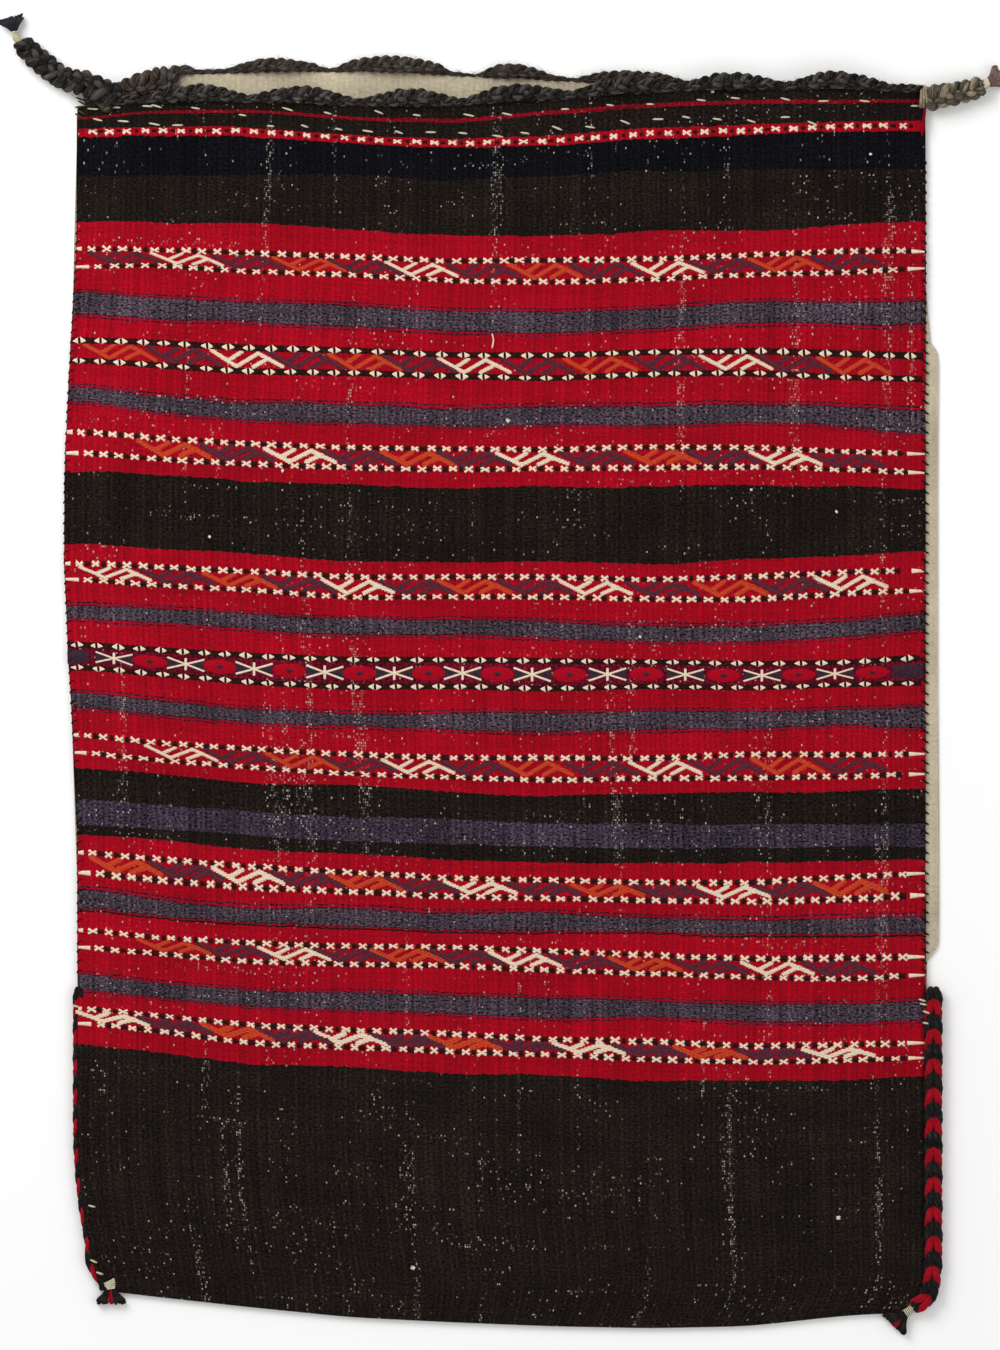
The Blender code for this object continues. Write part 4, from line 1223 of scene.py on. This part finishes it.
def thread_along(shell, line, radius, ends, tip=0.35, sides=6, turn=0.003):
    """Two-ply thread along a line."""
    strand(shell, line, tapered(len(line), radius, ends, tip), sides=sides, plies=2, turn=turn)


def seams():
    """The black overcast sewing of both sides."""
    dark = yarn_wool("seam_wool", "thread_black")
    for side, edge_x, name, radius in ((-1, left_x, "left_seam", 0.0005), (1, right_x, "right_seam", 0.0008)):
        shell = Shell()
        rng = np.random.default_rng(41 + side)
        for y in np.arange(SIDE_BRAID_TOP + 0.012, SEAM_TOP, SEAM_STITCH):
            y += rng.uniform(-0.001, 0.001)
            edge = float(edge_x(y))
            beyond = abs(float(back_right_x(y)) - edge) if side > 0 else 0.0
            reach = 0.0004 + min(beyond, 0.0026)
            points = [
                (edge - side * 0.004, y + 0.0025, 0.0068), (edge - side * 0.001, y + 0.0015, 0.0064),
                (edge + side * 0.0003, y, 0.0050),
                (edge + side * reach, y - 0.0012, 0.0032 if beyond > 0.004 else 0.0015),
            ]
            thread_along(shell, evenly(points, 0.001), radius, 2)
        finish_piece(shell.build(name + "_stitches", dark), "seam_thread", name + "_thread")


def stitch(shell, across, down, half, lean, lift, thick=0.0009):
    """A short stitch that lies on the front at a place in the photograph."""
    x, y, _ = spot(across, down)
    t = np.linspace(-1, 1, 7)
    xs, ys = x + t * half, y - lean * t * half
    zs = top_z(xs, ys, front_y(x, 0.0) - ys) + lift - 0.0012 * np.abs(t) ** 3
    thread_along(shell, np.stack([xs, ys, zs], 1), thick, 2, 0.6)


def hem_stitches(thread):
    """Running stitches below the mouth, and the stitches at the side cords and at the left corner."""
    rng = np.random.default_rng(51)
    shell = Shell()
    for place in HEM_STITCHES:
        stitch(shell, *place, rng.uniform(0.0030, 0.0048), rng.uniform(-0.05, 0.4), 0.0008, 0.00085)
    finish_piece(shell.build("hem_stitches", thread), "binding_thread")
    shell = Shell()
    for place in CORD_STITCHES:
        on_right = place[0] > MIDDLE_PIXEL
        stitch(shell, *place, 0.0028, rng.uniform(0.1, 0.5), 0.0062 if on_right else 0.0012)
    finish_piece(shell.build("cord_stitches", thread), "binding_thread")
    shell = Shell()
    for place in CORNER_STITCHES:
        stitch(shell, *place, 0.0032, rng.uniform(-0.2, 0.8), 0.0012)
    finish_piece(shell.build("corner_stitches", yarn_wool("corner_wool", "olive")), "binding_thread")


def loose_yarns():
    """Lint and one pulled end of yarn on the front."""
    rng = np.random.default_rng(71)
    shell = Shell()
    for across, down, size in LINT:
        x, y, _ = spot(across, down)
        base = np.array([x, y, float(top_z(x, y, front_y(x, 0.0) - y)) + 0.0006])
        for _ in range(9):
            t = np.linspace(-1, 1, 5)[:, None]
            way = np.array([*rng.normal(size=2), 0.2])
            way = way / np.linalg.norm(way) * size * MM * rng.uniform(0.5, 1)
            bend = np.array([*rng.uniform(-0.5, 0.5, 2), 0.15]) * size * MM
            strand(shell, base + way * t + bend * (1 - t ** 2), 0.0003, sides=5)
    thread_along(shell, evenly(spots(LOOSE_END), 0.001), 0.0006, 2)
    finish_piece(shell.build("lint", yarn_wool("lint_wool", "lint")), "binding_thread")
    shell = Shell()
    thread_along(shell, evenly(spots(SELVEDGE), 0.001), 0.0013, 4, sides=8, turn=0.004)
    finish_piece(shell.build("corner_selvedge", yarn_wool("selvedge_wool", "line_red")), "patterned_wool")


CAMERA_RISE = 8.0        # above the seams
VIEW_HEIGHT = 1.1475     # what the photograph shows of it, from top to bottom
VIEW_MIDDLE = (-0.0068, -0.00285)
FLOOR_HALF = 6.0
FLOOR_COLOUR = (0.97, 0.97, 0.965, 1)
FLOOR_ROUGHNESS = 0.9
SKY = 0.60               # strength of the white light from all round
LAMPS = (("key", (-1.3, 1.5, 1.9), 46, 1.5), ("fill", (1.6, -0.6, 2.2), 11, 1.8))  # place, power and size


def stage():
    """Floor, lights and the camera straight above."""
    floor_mesh = bpy.data.meshes.new("floor")
    corners = [(x * FLOOR_HALF, y * FLOOR_HALF, 0) for x, y in ((-1, -1), (1, -1), (1, 1), (-1, 1))]
    floor_mesh.from_pydata(corners, [], [(0, 1, 2, 3)])
    floor = added("floor", floor_mesh)
    paint = bpy.data.materials.new("pale_floor")
    paint.use_nodes = True
    shader = paint.node_tree.nodes["Principled BSDF"]
    shader.inputs["Base Color"].default_value = FLOOR_COLOUR
    shader.inputs["Roughness"].default_value = FLOOR_ROUGHNESS
    floor_mesh.materials.append(paint)
    world = bpy.data.worlds.new("studio")
    bpy.context.scene.world = world
    world.use_nodes = True
    world.node_tree.nodes["Background"].inputs["Color"].default_value = (1, 1, 1, 1)
    world.node_tree.nodes["Background"].inputs["Strength"].default_value = SKY
    for name, place, power, size in LAMPS:
        lamp = bpy.data.lights.new(name, "AREA")
        lamp.energy = power
        lamp.size = size
        light = added(name, lamp)
        light.location = place
        light.rotation_euler = (-Vector(place)).to_track_quat("-Z", "Y").to_euler()
    camera_data = bpy.data.cameras.new("camera")
    camera_data.lens = camera_data.sensor_width * CAMERA_RISE / VIEW_HEIGHT
    camera = added("camera", camera_data)
    camera.location = (*VIEW_MIDDLE, CAMERA_RISE + 2 * CLOTH)
    bpy.context.scene.camera = camera
    bpy.context.scene.view_settings.view_transform = "Standard"


def main():
    cloth = finish_piece(woven_cloth(patterned_wool(), ivory_wool()), "patterned_wool", "sack_cloth")
    for shell, (name, *look) in zip(brocade(), BROCADE_YARNS):
        finish_piece(shell.build(name, yarn_wool(name + "_wool", *look)), "patterned_wool")
    rng = np.random.default_rng(31)
    thread = yarn_wool("binding_thread", "tie")
    dark = plait_wool("goat_hair", "hair_dark", "hair_light", 0.5)
    grey = plait_wool("goat_hair_grey", "hair_grey", "hair_light", 0.7)
    mouth_plaits(dark, grey, rng)
    corner_plaits(dark, grey, thread, rng)
    side_plaits(thread, rng)
    seams()
    hem_stitches(thread)
    loose_yarns()
    stage()


main()
